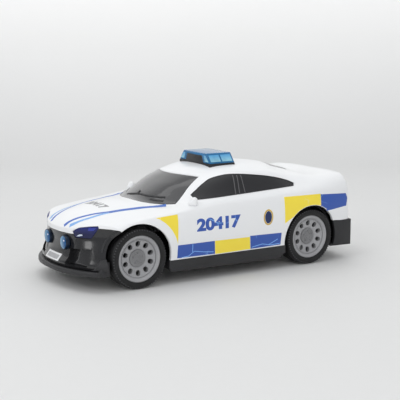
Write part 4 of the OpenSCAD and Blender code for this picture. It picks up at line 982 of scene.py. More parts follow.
class TOYCAR_OT_windows(ToyCarOperator, bpy.types.Operator):
    """Fits the dark panes with their pillar ridges, cowl and wipers"""

    bl_idname = "toycar.windows"
    bl_label = "Windows"

    def execute(self, context):
        gap, inset = size("fit_gap"), size("pane_inset")
        pane = sheet("pane", body_rows(-inset, **CABIN), PANE_THICKNESS)
        raised = sheet("raised", body_rows(-inset + RAISED_LIFT, **CABIN), RAISED_THICKNESS)
        side = both_sides(inset_outline(side_window_outline(), gap), "Y", *FLANK)
        flanks = keep(copy_of(pane, "side_windows"), side)
        finish(flanks, plastic("Side Window"), angle=PANE_ANGLE)
        screen = prism(inset_outline(windscreen_outline(), gap), "Z", *ABOVE_SCREEN)
        rear = prism(inset_outline(rear_pane_outline(), gap), "Z", *ABOVE_REAR)
        panes = [keep(copy_of(pane, "windscreen"), screen), keep(pane, rear)]
        # Raised ridges in a lighter grey: painted highlight along the pillar's edges
        ridges = join([both_sides(ribbon(line, RIDGE_WIDTH), "Y", *FLANK) for line in RIDGES])
        finish(keep(copy_of(raised, "pillar_ridges"), ridges), plastic("Pillar Ridge"))
        cowl = screen_edge(SCREEN_LOW_X - 0.5, SCREEN_CORNER_X - 0.2, SCREEN_LOW_Y - 0.8, 12)
        cowl += screen_edge(COWL_BACK_X, COWL_CORNER_X, SCREEN_LOW_Y - 2.6, 12)[::-1]
        panes.append(keep(raised, prism(cowl, "Z", *ABOVE_SCREEN)))
        windows = join(panes, "windows")
        finish(windows, plastic("Dark Window"), ["window_insert"], PANE_ANGLE)
        wipers = sheet("wipers", body_rows(WIPER_LIFT, **CABIN), RAISED_THICKNESS)
        arms = join([prism(ribbon(line, WIPER_WIDTH), "Z", *ABOVE_SCREEN) for line in WIPERS])
        finish(keep(wipers, arms), plastic("Black Trim"))
        return {"FINISHED"}


INTAKE = [(16.2, 15.1), (16.2, 24.9), (34, 26.1), (37, 21.5), (33, 15.1)]
GRILLE_LAMP = (99.8, 12.2, 27.8)
FASCIA_THICKNESS = 4.2
FASCIA_TOP = 60
LAMP_SEAT_RADIUS = 4.7
LAMP_SEAT_X = 105
LAMP_SEAT_DEPTH = 10.4
INTAKE_SKIN = 1.5
INTAKE_DEPTH = 3.7
INTAKE_RISE = 2.6
INTAKE_RISE_START = 17
INTAKE_RISE_SPAN = 19
ARCH_LIP = (24.2, 23.5)
ARCH_LIP_LIFT = 0.12
ARCH_LIP_SPREAD = 1.006
ARCH_LIP_THICKNESS = 0.8
ARCH_TURN = (14, 52)
LIP_GAP = 0.05
PLATE_BACK_X = 90
CORNER_BACK_X = 60
CORNER_FRONT = 52.55
# Name, distance in front of the fascia, thickness, lower and upper edge, half width and material
PLATES = (
    ("number_plate", 0.3, 0.35, 15.7, 19.9, 9.2, "Plate White"),
    ("plate_panel", 0.36, 0.2, 16.6, 19, 7.6, "Plate Grey"),
)


class TOYCAR_OT_fascia(ToyCarOperator, bpy.types.Operator):
    """Forms the black nose with its intakes and lamp seats, and both number plates"""

    bl_idname = "toycar.fascia"
    bl_label = "Fascia"

    def execute(self, context):
        nose = sheet("fascia", fascia_rows(), FASCIA_THICKNESS)
        corner = [(a, b - LIP_GAP) for a, b in corner_outline()[1:-1]]
        corner.append((FRONT_AXLE.x + CORNER_FRONT, FASCIA_TOP))
        corner += [(CORNER_BACK_X, FASCIA_TOP), (CORNER_BACK_X, corner[0][1])]
        places = [(LAMP_SEAT_X, m * GRILLE_LAMP[1], GRILLE_LAMP[2]) for m in (1, -1)]
        seats = [rod(place, LAMP_SEAT_RADIUS, "X", LAMP_SEAT_DEPTH) for place in places]
        cutters = (
            self.intakes(),
            prism(trapezoid(size("lip_z") - LIP_GAP, FASCIA_TOP, CORNER_Y), "X", CORNER_BACK_X, NOSE[1]),
            prism(corner, "Y", -FLANK[1], FLANK[1]),
            arches(),
            join(seats),
            headlamp_openings(),
        )
        for cutter in cutters:
            boolean(nose, cutter)
        finish(nose, plastic("Gloss Black"), ["front_fascia"])
        outer = arc(FRONT_WHEEL, ARCH_LIP[0], *ARCH_TURN, 14)
        band = outer + arc(FRONT_WHEEL, ARCH_LIP[1], *ARCH_TURN[::-1], 14)
        lips = sheet("arch_lips", shifted(fascia_rows(), ARCH_LIP_LIFT, ARCH_LIP_SPREAD), ARCH_LIP_THICKNESS)
        finish(keep(lips, both_sides(band, "Y", *CHEEK)), plastic("Black Trim"))
        for name, forward, thickness, low, high, half, look in PLATES:
            plate = sheet(name, fascia_rows(forward), thickness)
            keep(plate, prism(trapezoid(low, high, half), "X", PLATE_BACK_X, NOSE[1]))
            finish(plate, plastic(look))
        self.rear_plate()
        return {"FINISHED"}

    def intakes(self):
        """The hollows of the intakes, which get shallower towards the corners."""
        hollow = sheet("intakes", fascia_rows(INTAKE_SKIN), INTAKE_SKIN)
        inner = len(hollow.data.vertices) // 2
        for vertex in hollow.data.vertices[inner:]:
            share = ease((abs(vertex.co.y) / MM - INTAKE_RISE_START) / INTAKE_RISE_SPAN)
            vertex.co.x -= (INTAKE_DEPTH - INTAKE_RISE * share) * MM
        return keep(hollow, both_sides(INTAKE, "X", *NOSE))

    def rear_plate(self):
        """A plain plate in a dark frame between the tail lamps."""
        waist = size("waist_z")
        rows = tail_rows(-0.12, waist - 10, waist + 2)
        window = prism(trapezoid(waist - 6, waist - 1.6, 10.1), "X", *TAIL)
        border = sheet("rear_plate_frame", rows, 0.4)
        keep(border, prism(trapezoid(waist - 6.8, waist - 0.8, 11), "X", *TAIL))
        finish(boolean(border, copy_of(window, "cutter")), plastic("Black Trim"))
        finish(keep(sheet("rear_plate", rows, 0.3), window), plastic("Plate Grey"))


LENS_THICKNESS = 3.2
LAMP_RADIUS = 4.5
LAMP_BASE = 2.5
LAMP_BULGE = 1.0
LAMP_STEPS = 64


class TOYCAR_OT_lamps(ToyCarOperator, bpy.types.Operator):
    """Makes the headlamps, the round lamps on the fascia and the tail lamps"""

    bl_idname = "toycar.lamps"
    bl_label = "Lamps"

    def execute(self, context):
        lip = size("lip_z")
        # Painted shade: the headlamp lens runs darker towards its bottom edge
        bottom_shaded_lens = graded(plastic("Headlamp Lens"), "Z", lip + 4.5, lip + 0.5, paint("headlamp", 0.35))
        blue = prism(headlamp_outline(), "X", *NOSE)
        self.lenses("headlamp", lens_rows(), blue, 0.35, bottom_shaded_lens, "headlamp_blue")
        # Painted highlight: a pale patch on each headlamp lens where light would glint
        glint_patch = [(21.9, lip - 1.2), (24.1, lip + 0.2), (26.1, lip + 0.5), (26.5, lip - 0.3), (24, lip - 1)]
        # Painted reflection: a lighter blue patch at the lens's upper outer corner
        sheen_patch = [(29.9, lip + 3.1), (32.8, lip + 3.3), (34.3, lip + 5.1), (30.2, lip + 4.9)]
        for name, outline, look in (
            ("headlamp_diodes", glint_patch, "Lamp Diode"),
            ("headlamp_facets", sheen_patch, "Headlamp Facet"),
        ):
            piece = sheet(name, shifted(lens_rows(), 0.05), 0.4)
            finish(keep(piece, both_sides(outline, "X", *NOSE)), plastic(look))
        self.round_lamps()
        red = prism(tail_lamp_outline(), "X", *TAIL)
        self.lenses("tail_lamp", tail_rows(0.3, 43, 54), red, 0.3, plastic("Tail Lamp"), "lamp_red")
        return {"FINISHED"}

    def lenses(self, name, rows, cutter, edge, look, slot):
        """A lens on each side, cut out of a thick sheet and rounded at its edges."""
        lens = bevel(keep(sheet(name, rows, LENS_THICKNESS), cutter), edge, 3, 40)
        for side, piece in twins(lens, f"{name}_lens").items():
            finish(piece, look, [f"{name}_{side}"])

    def round_lamps(self):
        """The two round lamps: domed lenses, walls around them in a dark colour that is painted shade, and
        pale dots of painted highlight.
        """
        inside = LAMP_RADIUS - 0.45
        dome = [(inside * cos(a), LAMP_BASE + LAMP_BULGE * sin(a)) for a in np.linspace(0.1, pi / 2, 12)[:-1]]
        foot = [(0, 0.2), (inside, 0.2), (inside, LAMP_BASE)]
        cap = lathe(foot + dome + [(0, LAMP_BASE + LAMP_BULGE)], LAMP_STEPS)
        unite(cap, rod((0, -1.8, 0), 2.5, "Y", 4.6, 32))
        wall = LAMP_RADIUS - 0.4
        drum = [(wall, 0), (LAMP_RADIUS, 0), (LAMP_RADIUS, LAMP_BASE - 0.15)]
        drum += [(LAMP_RADIUS - 0.12, LAMP_BASE + 0.15), (wall, LAMP_BASE)]
        ring = lathe(drum, LAMP_STEPS)
        for piece in (cap, ring):
            for vertex in piece.data.vertices:
                x, y, z = vertex.co
                vertex.co = (y, -x, z)
            move(piece, GRILLE_LAMP)
        for side, piece in twins(cap, "grille_lamp_lens").items():
            # Painted shade and reflection: each lens runs darker towards +Y, the same way on both lamps, so
            # the two materials differ
            y = GRILLE_LAMP[1] if side == "left" else -GRILLE_LAMP[1]
            glass = graded(plastic(f"Grille Lamp {side.title()}"), "Y", y - 1, y + 3.5, paint("lamp_deep"))
            finish(piece, glass, [f"grille_lamp_{side}"])
        # The rings are real walls; their dark colour is painted shade
        for piece in twins(ring, "grille_lamp_ring").values():
            finish(piece, plastic("Lamp Ring"))
        # Painted highlights: a pale dot at the upper right of each round lamp, on the same side for both, not
        # mirrored
        x, z = GRILLE_LAMP[0] + LAMP_BASE + 0.72, GRILLE_LAMP[2] + 1.5
        glint_spots = [ball((x, y + 2.4, z), (0.2, 0.75, 0.55)) for y in (GRILLE_LAMP[1], -GRILLE_LAMP[1])]
        finish(join(glint_spots, "grille_lamp_diodes"), plastic("Lamp Diode"))


BAR_WALL = 1.3
BAR_LEAN = 5.3
BAR_EDGE = 0.35
LENS_EDGE = 0.7
HOLLOW_EDGE = 0.4
BAR_FLANGE = 1.6
BAR_SUNK = 8.6
CORE_HALF = 11.8
CORE_TOP_HALF = 9.4
CORE_DROP = 1.7
CORE_GAP = 0.05
STEM_RADIUS = 1.8
STEM_FOOT_Z = 60.55
CELL_LIFT = 0.06
CELL_DEPTH = 0.5


class TOYCAR_OT_light_bar(ToyCarOperator, bpy.types.Operator):
    """Builds the light bar: black base with its core, and the clear blue lens"""

    bl_idname = "toycar.light_bar"
    bl_label = "Light Bar"

    def execute(self, context):
        front, span, half = size("bar_front_x"), size("bar_length"), size("bar_width") / 2
        low, lens, top = size("roof_z") - BAR_SUNK, size("bar_lens_z"), size("bar_top_z")
        back, core_top = front - span, top - CORE_DROP
        middle = (front + back) / 2
        base = bevel(prism(trapezoid(low, lens, half), "X", back, front), BAR_EDGE)
        base.name = "bar_base"
        core = trapezoid(lens - BAR_WALL / 2, core_top, CORE_HALF, CORE_TOP_HALF)
        unite(base, bevel(prism(core, "X", back, front), BAR_EDGE))
        inner_half, inside = half - BAR_WALL, (back + BAR_WALL, front - BAR_WALL)
        boolean(base, prism(trapezoid(low - 1, lens - BAR_WALL, inner_half), "X", *inside))
        rim = trapezoid(low, low + BAR_FLANGE, half + BAR_FLANGE)
        flange = prism(rim, "X", back - BAR_FLANGE, front + BAR_FLANGE)
        boolean(flange, prism(trapezoid(low - 1, low + 3, inner_half), "X", *inside))
        stem_top = lens - BAR_WALL / 2
        stem = rod((middle, 0, (stem_top + STEM_FOOT_Z) / 2), STEM_RADIUS, "Z", stem_top - STEM_FOOT_Z, 32)
        unite(base, flange, stem)
        finish(base, plastic("Black Trim"), ["lightbar_base"], body="light_bar")

        block = trapezoid(lens + CORE_GAP, top, half, half - BAR_LEAN)
        shell = bevel(prism(block, "X", back, front), LENS_EDGE, segments=4, angle=20)
        slot = trapezoid(lens - 1, core_top + CORE_GAP, CORE_HALF + CORE_GAP, CORE_TOP_HALF + CORE_GAP)
        boolean(shell, prism(slot, "X", back - 1, front + 1))
        cell_top, tip = top - BAR_WALL, half - BAR_LEAN - BAR_WALL + 0.4
        hollow = [(13, lens - 1), (half - 1.3 * BAR_WALL, lens - 1), (tip, cell_top), (11.4, cell_top)]
        reach = span / 4 - BAR_WALL * 0.75
        mids = [middle + k * (span / 4 - BAR_WALL / 4) for k in (-1, 1)]
        hollows = [bevel(both_sides(hollow, "X", mid - reach, mid + reach), HOLLOW_EDGE) for mid in mids]
        boolean(shell, join(hollows))
        shell.name = "bar_lens"
        finish(shell, plastic("Bar Lens"), ["lightbar_lens"], body="light_bar")
        self.cells(front, back, half, lens, top)
        return {"FINISHED"}

    def cells(self, front, back, half, lens, top):
        """Paler cells on the lens: two on each sloping end, and two on each of its long faces."""
        middle = (front + back) / 2
        rise = Vector((-BAR_LEAN, top - lens))
        slope = rise.normalized()
        out = Vector((slope.y, -slope.x))
        foot = Vector((half, lens + CORE_GAP))
        edges = ((0.17, CELL_LIFT), (0.8, CELL_LIFT), (0.8, -CELL_DEPTH), (0.17, -CELL_DEPTH))
        end_cell = [tuple(foot + slope * rise.length * t + out * d) for t, d in edges]
        face_cell = [(13.3, lens + 1.1), (17.7, lens + 1.1), (14.2, top - 1.4), (11.7, top - 1.4)]
        places = (
            (end_cell, back + 1.5, middle - 0.6),
            (end_cell, middle + 0.6, front - 1.5),
            (face_cell, front - CELL_DEPTH, front + CELL_LIFT),
            (face_cell, back - CELL_LIFT, back + CELL_DEPTH),
        )
        panels = join([both_sides(outline, "X", low, high) for outline, low, high in places], "bar_cells")
        pale = graded(plastic("Bar Cell"), "Z", lens + 1.4, top - 0.6, paint("lens", 1.1))
        finish(panels, pale, body="light_bar")


RIM_DISH = 3.0
RIM_HUB = 5.75
RIM_HOLES = 10
HOLE_WIDTH = 3.15
HOLE_SLOT = 0.6
TREAD_DEPTH = 0.7
WHEEL_STEPS = 120
HUB_STEPS = 64
STUDS = 64
HUB_FACE = -3.0
HUB_RADIUS = 5.45
HUB_RINGS = (
    (0, 0.3), (1.3, 0.3), (1.5, 0.1), (2.2, 0.1), (2.35, 0.3), (2.85, 0.3),
    (3, 0.1), (4, 0.1), (4.15, 0.26), (5.2, 0.26), (HUB_RADIUS, 0.05),
)
FIVE_TURNS = np.radians(72 * np.arange(5) + 90)


class TOYCAR_OT_wheels(ToyCarOperator, bpy.types.Operator):
    """Turns one rim and one tyre and copies them to the four wheels"""

    bl_idname = "toycar.wheels"
    bl_label = "Wheels"

    def execute(self, context):
        models = (
            ("rim", self.rim(), "Rim", "rim_grey"),
            ("tyre", self.tyre(), "Tyre", "tyre_black"),
            ("studs", self.studs(), "Tyre Stud", "tyre_black"),
            ("hub", self.hub(), "Hub", "rim_grey"),
        )
        for end, axle in (("front", FRONT_AXLE), ("rear", REAR_AXLE)):
            for side in ("left", "right"):
                for kind, model, look, slot in models:
                    name = f"{kind}_{end}_{side}"
                    piece = move(copy_of(model, f"wheel_{name}"), (axle.x, size("rim_face_y"), axle.z))
                    if side == "right":
                        mirror_y(piece)
                    nodes = [name] if kind in ("rim", "tyre") else ()
                    finish(piece, plastic(look), nodes, body=f"{end}_wheels")
        for _, model, _, _ in models:
            bpy.data.objects.remove(model)
        return {"FINISHED"}

    def rim(self):
        """The rim about the Y axis, its outer edge at zero and its inside at negative distances."""
        edge, dish, hub = size("rim_diameter") / 2, RIM_DISH, RIM_HUB
        seat, inner = edge - 1.4, -(size("tyre_width") - 2)
        profile = [
            (1.5, inner + 2), (1.5, -dish - 1), (2.5, -dish - 1), (2.7, -dish - 0.55), (3.1, -dish - 0.55),
            (3.3, -dish - 1), (hub - 0.9, -dish - 1), (hub - 0.5, -dish - 0.5), (hub, -dish - 0.2),
            (hub + 0.4, -dish), (edge - 4.6, -dish + 0.6), (edge - 3.9, -dish + 0.8),
            (edge - 3.3, -dish + 1.2), (edge - 2.95, -1.55), (edge - 2.8, -2.0), (edge - 2.6, -1.95),
            (edge - 2.45, -1.15), (edge - 2.2, -1.0), (edge - 1.7, -0.45), (edge - 1.2, -0.08),
            (edge - 0.8, 0), (edge - 0.4, -0.1), (edge, -0.45), (edge, -1), (seat, -1),
            (seat, inner - 0.6), (seat - 1.2, inner - 0.6), (seat - 1.2, -dish - 3),
            (edge - 4, -dish - 1.8), (hub, -dish - 2.6), (3.5, -dish - 2.8), (3.5, inner + 2),
        ]
        rim = lathe(profile, WHEEL_STEPS)
        around, half = (edge + hub) / 2 - 1, HOLE_WIDTH / 2
        shape = arc((HOLE_SLOT / 2, 0), half, -90, 90, 8) + arc((-HOLE_SLOT / 2, 0), half, 90, 270, 8)
        holes = []
        for i in range(RIM_HOLES):
            turn = radians((i + 0.5) * 360 / RIM_HOLES)
            c, s = cos(turn), sin(turn)
            outline = [((around + a) * c - b * s, (around + a) * s + b * c) for a, b in shape]
            holes.append(prism(outline, "Y", -12, 1))
        boolean(rim, join(holes))
        boolean(rim, rod_ring(FIVE_TURNS, hub / 2 + 1, -dish - 1.2, 0.6, 0.6))
        return unite(rim, bevel(rod((0, -dish - 1.05, 0), 1.9, "Y", 0.5, 32), 0.15))

    def tyre(self):
        """The tyre about the Y axis, in the same place as the rim."""
        radius, edge, width = size("tyre_diameter") / 2, size("rim_diameter") / 2 + 0.05, size("tyre_width")
        bore, groove = edge - 1.4, radius - TREAD_DEPTH
        profile = [
            (bore, -width + 1.4), (bore, -1.05), (edge, -1.05), (edge, 0.1), (edge + 0.5, 0.42),
            (edge + 1.2, 0.6), (radius - 1.9, 0.5), (radius - 1.1, 0.2), (radius - 0.5, -0.4),
            (radius - 0.14, -1.1), (radius, -1.9),
        ]
        for share in (0.36, 0.64):
            start = -width * share + 0.5
            profile += [(radius, start), (groove, start - 0.1), (groove, start - 0.9), (radius, start - 1.0)]
        profile += [
            (radius, -width + 2), (radius - 0.14, -width + 1.2), (radius - 0.5, -width + 0.7),
            (radius - 1.6, -width), (edge, -width),
        ]
        return lathe(profile, WHEEL_STEPS)

    def hub(self):
        """The ringed disc in the middle of a rim, in the same place."""
        back = HUB_FACE - 1.4
        face = [(radius, HUB_FACE + height) for radius, height in HUB_RINGS]
        disc = lathe([(0, back)] + face + [(HUB_RADIUS, back)], HUB_STEPS)
        return boolean(disc, rod_ring(FIVE_TURNS, 3.5, HUB_FACE + 0.2, 0.5, 0.8))

    def studs(self):
        """The row of studs on the tyre's shoulder, in the same place; their lighter colour is painted
        highlight.
        """
        turns = np.linspace(0, 2 * pi, STUDS + 1)[1:]
        return rod_ring(turns, size("tyre_diameter") / 2 - 0.95, 0.1, 0.34, 0.7, 10)


WING = [(96, 13.2), (93.9, 14.1), (92.5, 17.2), (90.5, 20.3), (88.4, 20.9), (78.3, 20.9), (78.3, 13.2)]
WING_LIFT = 0.8
WING_SPREAD = 1.012
SKIRT = [(44.9, 10.8), (44.1, 7.9), (-41.6, 6.9), (-44.6, 10.8)]
SKIRT_Y = 45.15
SKIRT_THICKNESS = 2.6
LIP_TOP_Z = 13
LIP_FRONT_X = 107
LIP_BOW = 15.9
LIP_BOW_POWER = 2.5
LIP_ROUNDING = 2.2


class TOYCAR_OT_chassis(ToyCarOperator, bpy.types.Operator):
    """Takes over the chassis from the frame and rounds its long edges"""

    bl_idname = "toycar.chassis"
    bl_label = "Chassis"

    def execute(self, context):
        trim = plastic("Black Trim")
        chassis = clean(copy_of(frame["nodes"]["chassis"], "chassis_moulding"))
        with editing(chassis):
            bpy.ops.mesh.dissolve_limited(angle_limit=radians(3))
        self.round_lip(chassis)
        bevel(chassis, 0.3, 2, 40)
        finish(chassis, trim, ["chassis"])
        wings = sheet("splitter_wings", shifted(fascia_rows(), WING_LIFT, WING_SPREAD), 1.3)
        keep(wings, both_sides(WING, "Y", *CHEEK))
        boolean(wings, arches())
        finish(bevel(wings, 0.25), trim)
        skirts = both_sides(SKIRT, "Y", SKIRT_Y - SKIRT_THICKNESS, SKIRT_Y, "sill_skirts")
        finish(bevel(skirts, 0.3), trim)
        return {"FINISHED"}

    def round_lip(self, chassis):
        """Rounds the upper edge of the lip under the nose."""
        select(chassis)
        mesh = chassis.data

        def on_lip(point):
            front = LIP_FRONT_X - LIP_BOW * (abs(point.y) / BAND_HALF) ** LIP_BOW_POWER
            return abs(point.z - LIP_TOP_Z) < 0.02 and point.x > front - 0.4

        chosen = [on_lip(vertex.co / MM) for vertex in mesh.vertices]
        for item in (*mesh.vertices, *mesh.polygons):
            item.select = False
        for edge in mesh.edges:
            edge.select = all(chosen[v] for v in edge.vertices)
        if not any(edge.select for edge in mesh.edges):
            raise RuntimeError("the lip under the nose has no upper edge to round")
        bpy.ops.object.mode_set(mode="EDIT")
        bpy.ops.mesh.select_mode(type="EDGE")
        bpy.ops.mesh.bevel(offset=LIP_ROUNDING * MM, segments=5, affect="EDGES", clamp_overlap=True)
        bpy.ops.object.mode_set(mode="OBJECT")


DOOR_NUMBER = "20417"
FOIL_THICKNESS = 0.12
FRONT_FOIL_RADIUS = 27.3
REAR_FOIL_RADIUS = 22.3
BLUE_BLOCKS = (
    [(39.7, 24.9), (12.4, 24.9), (11.4, 16.1), (39.7, 16.4)],
    [(-15.2, 25.2), (-40.8, 24.7), (-40.9, 16.4), (-16.5, 16.1)],
    [(-73.6, 47.9), (-98, 46.4), (-99.8, 42.8), (-98.4, 37.6), (-79, 36)]
    + arc(REAR_WHEEL, REAR_FOIL_RADIUS, 125, 110, 4),
)
YELLOW_BLOCKS = (
    [(54.9, 43.5), (39.4, 44.5), (39.8, 25.8)]
    + arc(FRONT_WHEEL, FRONT_FOIL_RADIUS, 165.5, 115, 12)[1:-1],
    [(12.2, 24.9), (-15, 24.5), (-16.3, 16.1), (11.2, 15.9)],
    [(-42.7, 48.6), (-73.5, 48.3), (-73.7, 40.4)]
    + arc(REAR_WHEEL, REAR_FOIL_RADIUS, 108, 45, 10)
    + [(-43.2, 30.8)],
)
# Creases in the blue blocks, drawn as pale strips: painted highlight along real creases
FOLDS = (
    [(36.5, 16.5), (31.4, 17), (27.3, 19.7), (20, 18.4), (12.6, 17.6)],
    [(28.9, 24.6), (28.6, 19.4)],
    [(-17.4, 17.2), (-25.8, 18.5), (-33, 17), (-40.4, 17.4)],
    [(-31, 17.4), (-38, 20.6)],
)
FOLD_WIDTH = 0.4
FOLD_SPREAD = 1.001
OUTER_LINE = [(98.9, 14.6), (96.1, 16.6), (93.1, 17.7), (87.2, 19.4), (80.3, 20), (73.9, 20.9)]
INNER_LINE = [(100.4, 9.7), (98, 10.6), (93.9, 12), (88.1, 14.3), (82.2, 16.4), (76.5, 18.9), (73.9, 20)]
JOINED_LINE = [(74.5, 20.4), (67.6, 21.9), (61.4, 23.4), (55, 25), (48.7, 26.9), (42.7, 29.3), (39.3, 31.1)]
# Name, lines with their widths at both ends, and foil
HOOD_LINES = (
    ("hood_lines_outer", [(OUTER_LINE, 2.4, 2)], "Pale Blue Foil"),
    ("hood_lines_inner", [(INNER_LINE, 2.2, 1.8), (JOINED_LINE, 3, 4)], "Hood Foil"),
)
BADGE = (-29.5, 36.3)


def digits(start, end, axes):
    """The number as raised digits from start to end; axes are the text's own that run along X, Y and Z."""
    deselect()
    bpy.ops.object.text_add()
    letters = named("digits")
    letters.data.body = DOOR_NUMBER
    letters.data.offset = 0.05
    letters.data.extrude = 0.5
    bpy.ops.object.convert(target="MESH")
    clean(letters, 0.0005)
    points = [v.co.copy() for v in letters.data.vertices]
    low = [min(p[i] for p in points) for i in range(3)]
    high = [max(p[i] for p in points) for i in range(3)]
    for vertex in letters.data.vertices:
        share = [(c - a) / (b - a) for c, a, b in zip(vertex.co, low, high)]
        vertex.co = Vector([a + (b - a) * share[axis] for a, b, axis in zip(start, end, axes)]) * MM
    return clean(letters)


def oval(width, height):
    """An oval around the badge's middle, as (x, z)."""
    turns = np.linspace(0, 2 * pi, 49)[:-1]
    return both_sides([(BADGE[0] + width * cos(a), BADGE[1] + height * sin(a)) for a in turns], "Y", *FLANK)


class TOYCAR_OT_stickers(ToyCarOperator, bpy.types.Operator):
    """Applies the blue and yellow blocks, hood lines, door numbers and badges"""

    bl_idname = "toycar.stickers"
    bl_label = "Stickers"

    def execute(self, context):
        lift = size("sticker_lift")
        side = sheet("side_foil", body_rows(lift), FOIL_THICKNESS)
        hood = sheet("hood_foil", body_rows(lift, None, 30, 1.0), FOIL_THICKNESS)
        for name, outlines, look in (
            ("blue_blocks", BLUE_BLOCKS, "Blue Foil"),
            ("yellow_blocks", YELLOW_BLOCKS, "Yellow Foil"),
            ("foil_creases", [ribbon(line, FOLD_WIDTH) for line in FOLDS], "Fold"),
        ):
            piece = copy_of(side, name)
            if look == "Fold":
                for vertex in piece.data.vertices:
                    vertex.co.y *= FOLD_SPREAD
            cutters = [both_sides(outline, "Y", *FLANK) for outline in outlines]
            finish(keep(piece, join(cutters)), foil(look))
        self.hood_marks(hood)
        self.door_marks(side)
        bpy.data.objects.remove(side)
        bpy.data.objects.remove(hood)
        return {"FINISHED"}

    def hood_marks(self, hood):
        """Two lines on each side of the hood that run together towards the windscreen, and the number."""
        for name, lines, look in HOOD_LINES:
            parts = []
            for points, start, end in lines:
                band = ribbon(curve_through(points, 5), start, end)
                parts.append(keep(copy_of(hood, name), both_sides(band, "Z", *HOOD)))
            finish(join(parts, name), foil(look))
        number = digits((76, -12, 35), (69.8, 12, 60), (1, 0, 2))
        finish(keep(copy_of(hood, "hood_number"), number), foil("Grey Print"))

    def door_marks(self, side):
        """Numbers and round badges on both doors."""
        numbers = [
            digits((26, 30, 32), (-7.4, 60, 40.4), (0, 2, 1)),
            digits((-7.4, -60, 32), (26, -30, 40.4), (0, 2, 1)),
        ]
        finish(keep(copy_of(side, "door_numbers"), join(numbers)), foil("Blue Foil"))
        ring = keep(copy_of(side, "badge_rings"), oval(3.8, 5.3))
        finish(boolean(ring, oval(2.9, 4.3)), foil("Gold Foil"))
        finish(keep(copy_of(side, "badge_discs"), oval(2.7, 4.1)), foil("Dark Foil"))


INNER_FINISH = (0.35, 0.5, 0.85, 90, 1500, 0.08, {})
STEEL = (0.6, 0.6, 0.62, 1)
GEAR_WHITE = (0.8, 0.8, 0.76, 1)
INNER_TRIM = ("battery_cover", "switch_knob")
INNER_METALS = {
    "lightbar_reflectors": (0.86, 0.88, 0.9, 1),
    "lightbar_spring": (0.62, 0.62, 0.64, 1),
    "board_screws": STEEL,
    "button_cells": (0.66, 0.66, 0.66, 1),
    "battery_contacts": (0.6, 0.45, 0.16, 1),
    "battery_screw": STEEL,
    "chassis_screws": STEEL,
    "front_axle": STEEL,
    "rear_axle": STEEL,
    "flywheel": (0.3, 0.31, 0.33, 1),
    "motor_screws": STEEL,
}
INNER_PLASTICS = {
    "circuit_board": (0.02, 0.16, 0.06, 1),
    "tact_switch": (0.03, 0.03, 0.03, 1),
    "leds": (0.5, 0.7, 0.9, 1),
    "speaker": (0.07, 0.07, 0.07, 1),
    "switch_body": (0.05, 0.05, 0.055, 1),
    "motor_frame": (0.5, 0.5, 0.49, 1),
    "axle_gear": GEAR_WHITE,
    "idler_gear": GEAR_WHITE,
}


class TOYCAR_OT_inner_parts(ToyCarOperator, bpy.types.Operator):
    """Gives the frame's own pieces inside and below the car their materials"""

    bl_idname = "toycar.inner_parts"
    bl_label = "Inner Parts"

    def execute(self, context):
        looks = {name: plastic("Black Trim") for name in INNER_TRIM}
        for name, rgba in INNER_METALS.items():
            looks[name] = metal(name.replace("_", " ").title(), rgba)
        for name, rgba in INNER_PLASTICS.items():
            looks[name] = moulding(name.replace("_", " ").title(), rgba, *INNER_FINISH)
        for name, look in looks.items():
            materials = frame["nodes"][name].data.materials
            materials.clear()
            materials.append(look)
        self.spring(looks["lightbar_spring"])
        return {"FINISHED"}

    def spring(self, look):
        """A copy of the frame's return spring, in its place on the car."""
        piece = bpy.data.objects.new("bar_spring", frame["nodes"]["lightbar_spring"].data.copy())
        bpy.context.collection.objects.link(piece)
        clean(piece)
        finish(piece, look, ["lightbar_spring"])
        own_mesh(piece)


CAMERA_PLACE = Vector((0.35215, 0.56827, 0.15248))
CAMERA_YAW = 0.5620
CAMERA_PITCH = 0.1610
CAMERA_LENS = 89.3
CAMERA_SENSOR = 36
CAMERA_RIGHT = Vector((-cos(CAMERA_YAW), sin(CAMERA_YAW), 0))
CAMERA_AWAY = Vector((-sin(CAMERA_YAW), -cos(CAMERA_YAW), 0))
# Place, target, side, power, and whether shiny and matt surfaces show it
LIGHTS = {
    "key_light": ((0.1, -0.05, 1.0), (0, 0, 0), 1.0, 2.9, True, True),
    "front_light": ((1.0, 0.45, 0.5), (0.02, 0, 0.03), 0.9, 2.8, False, True),
    "side_light": ((0.1, 1.1, 0.45), (-0.03, 0, 0.03), 1.0, 3.2, False, True),
    "glint_light": ((0.95, 0.05, 0.32), (0.095, 0.031, 0.027), 0.14, 0.25, True, False),
    "spark_light": ((0.95, 0.1, 0.72), (0.08, 0, 0.03), 0.25, 0.8, True, True),
}
WORLD_COLOUR = (0.9, 0.92, 0.95, 1)
WORLD_STRENGTH = 0.5
FLOOR_START = -2.0
FLOOR_HALF = 2.2
WALL_TOP = 2.2
BEND_START = 0.5
BEND_RADIUS = 0.16
WALL_GLOW = 0.46


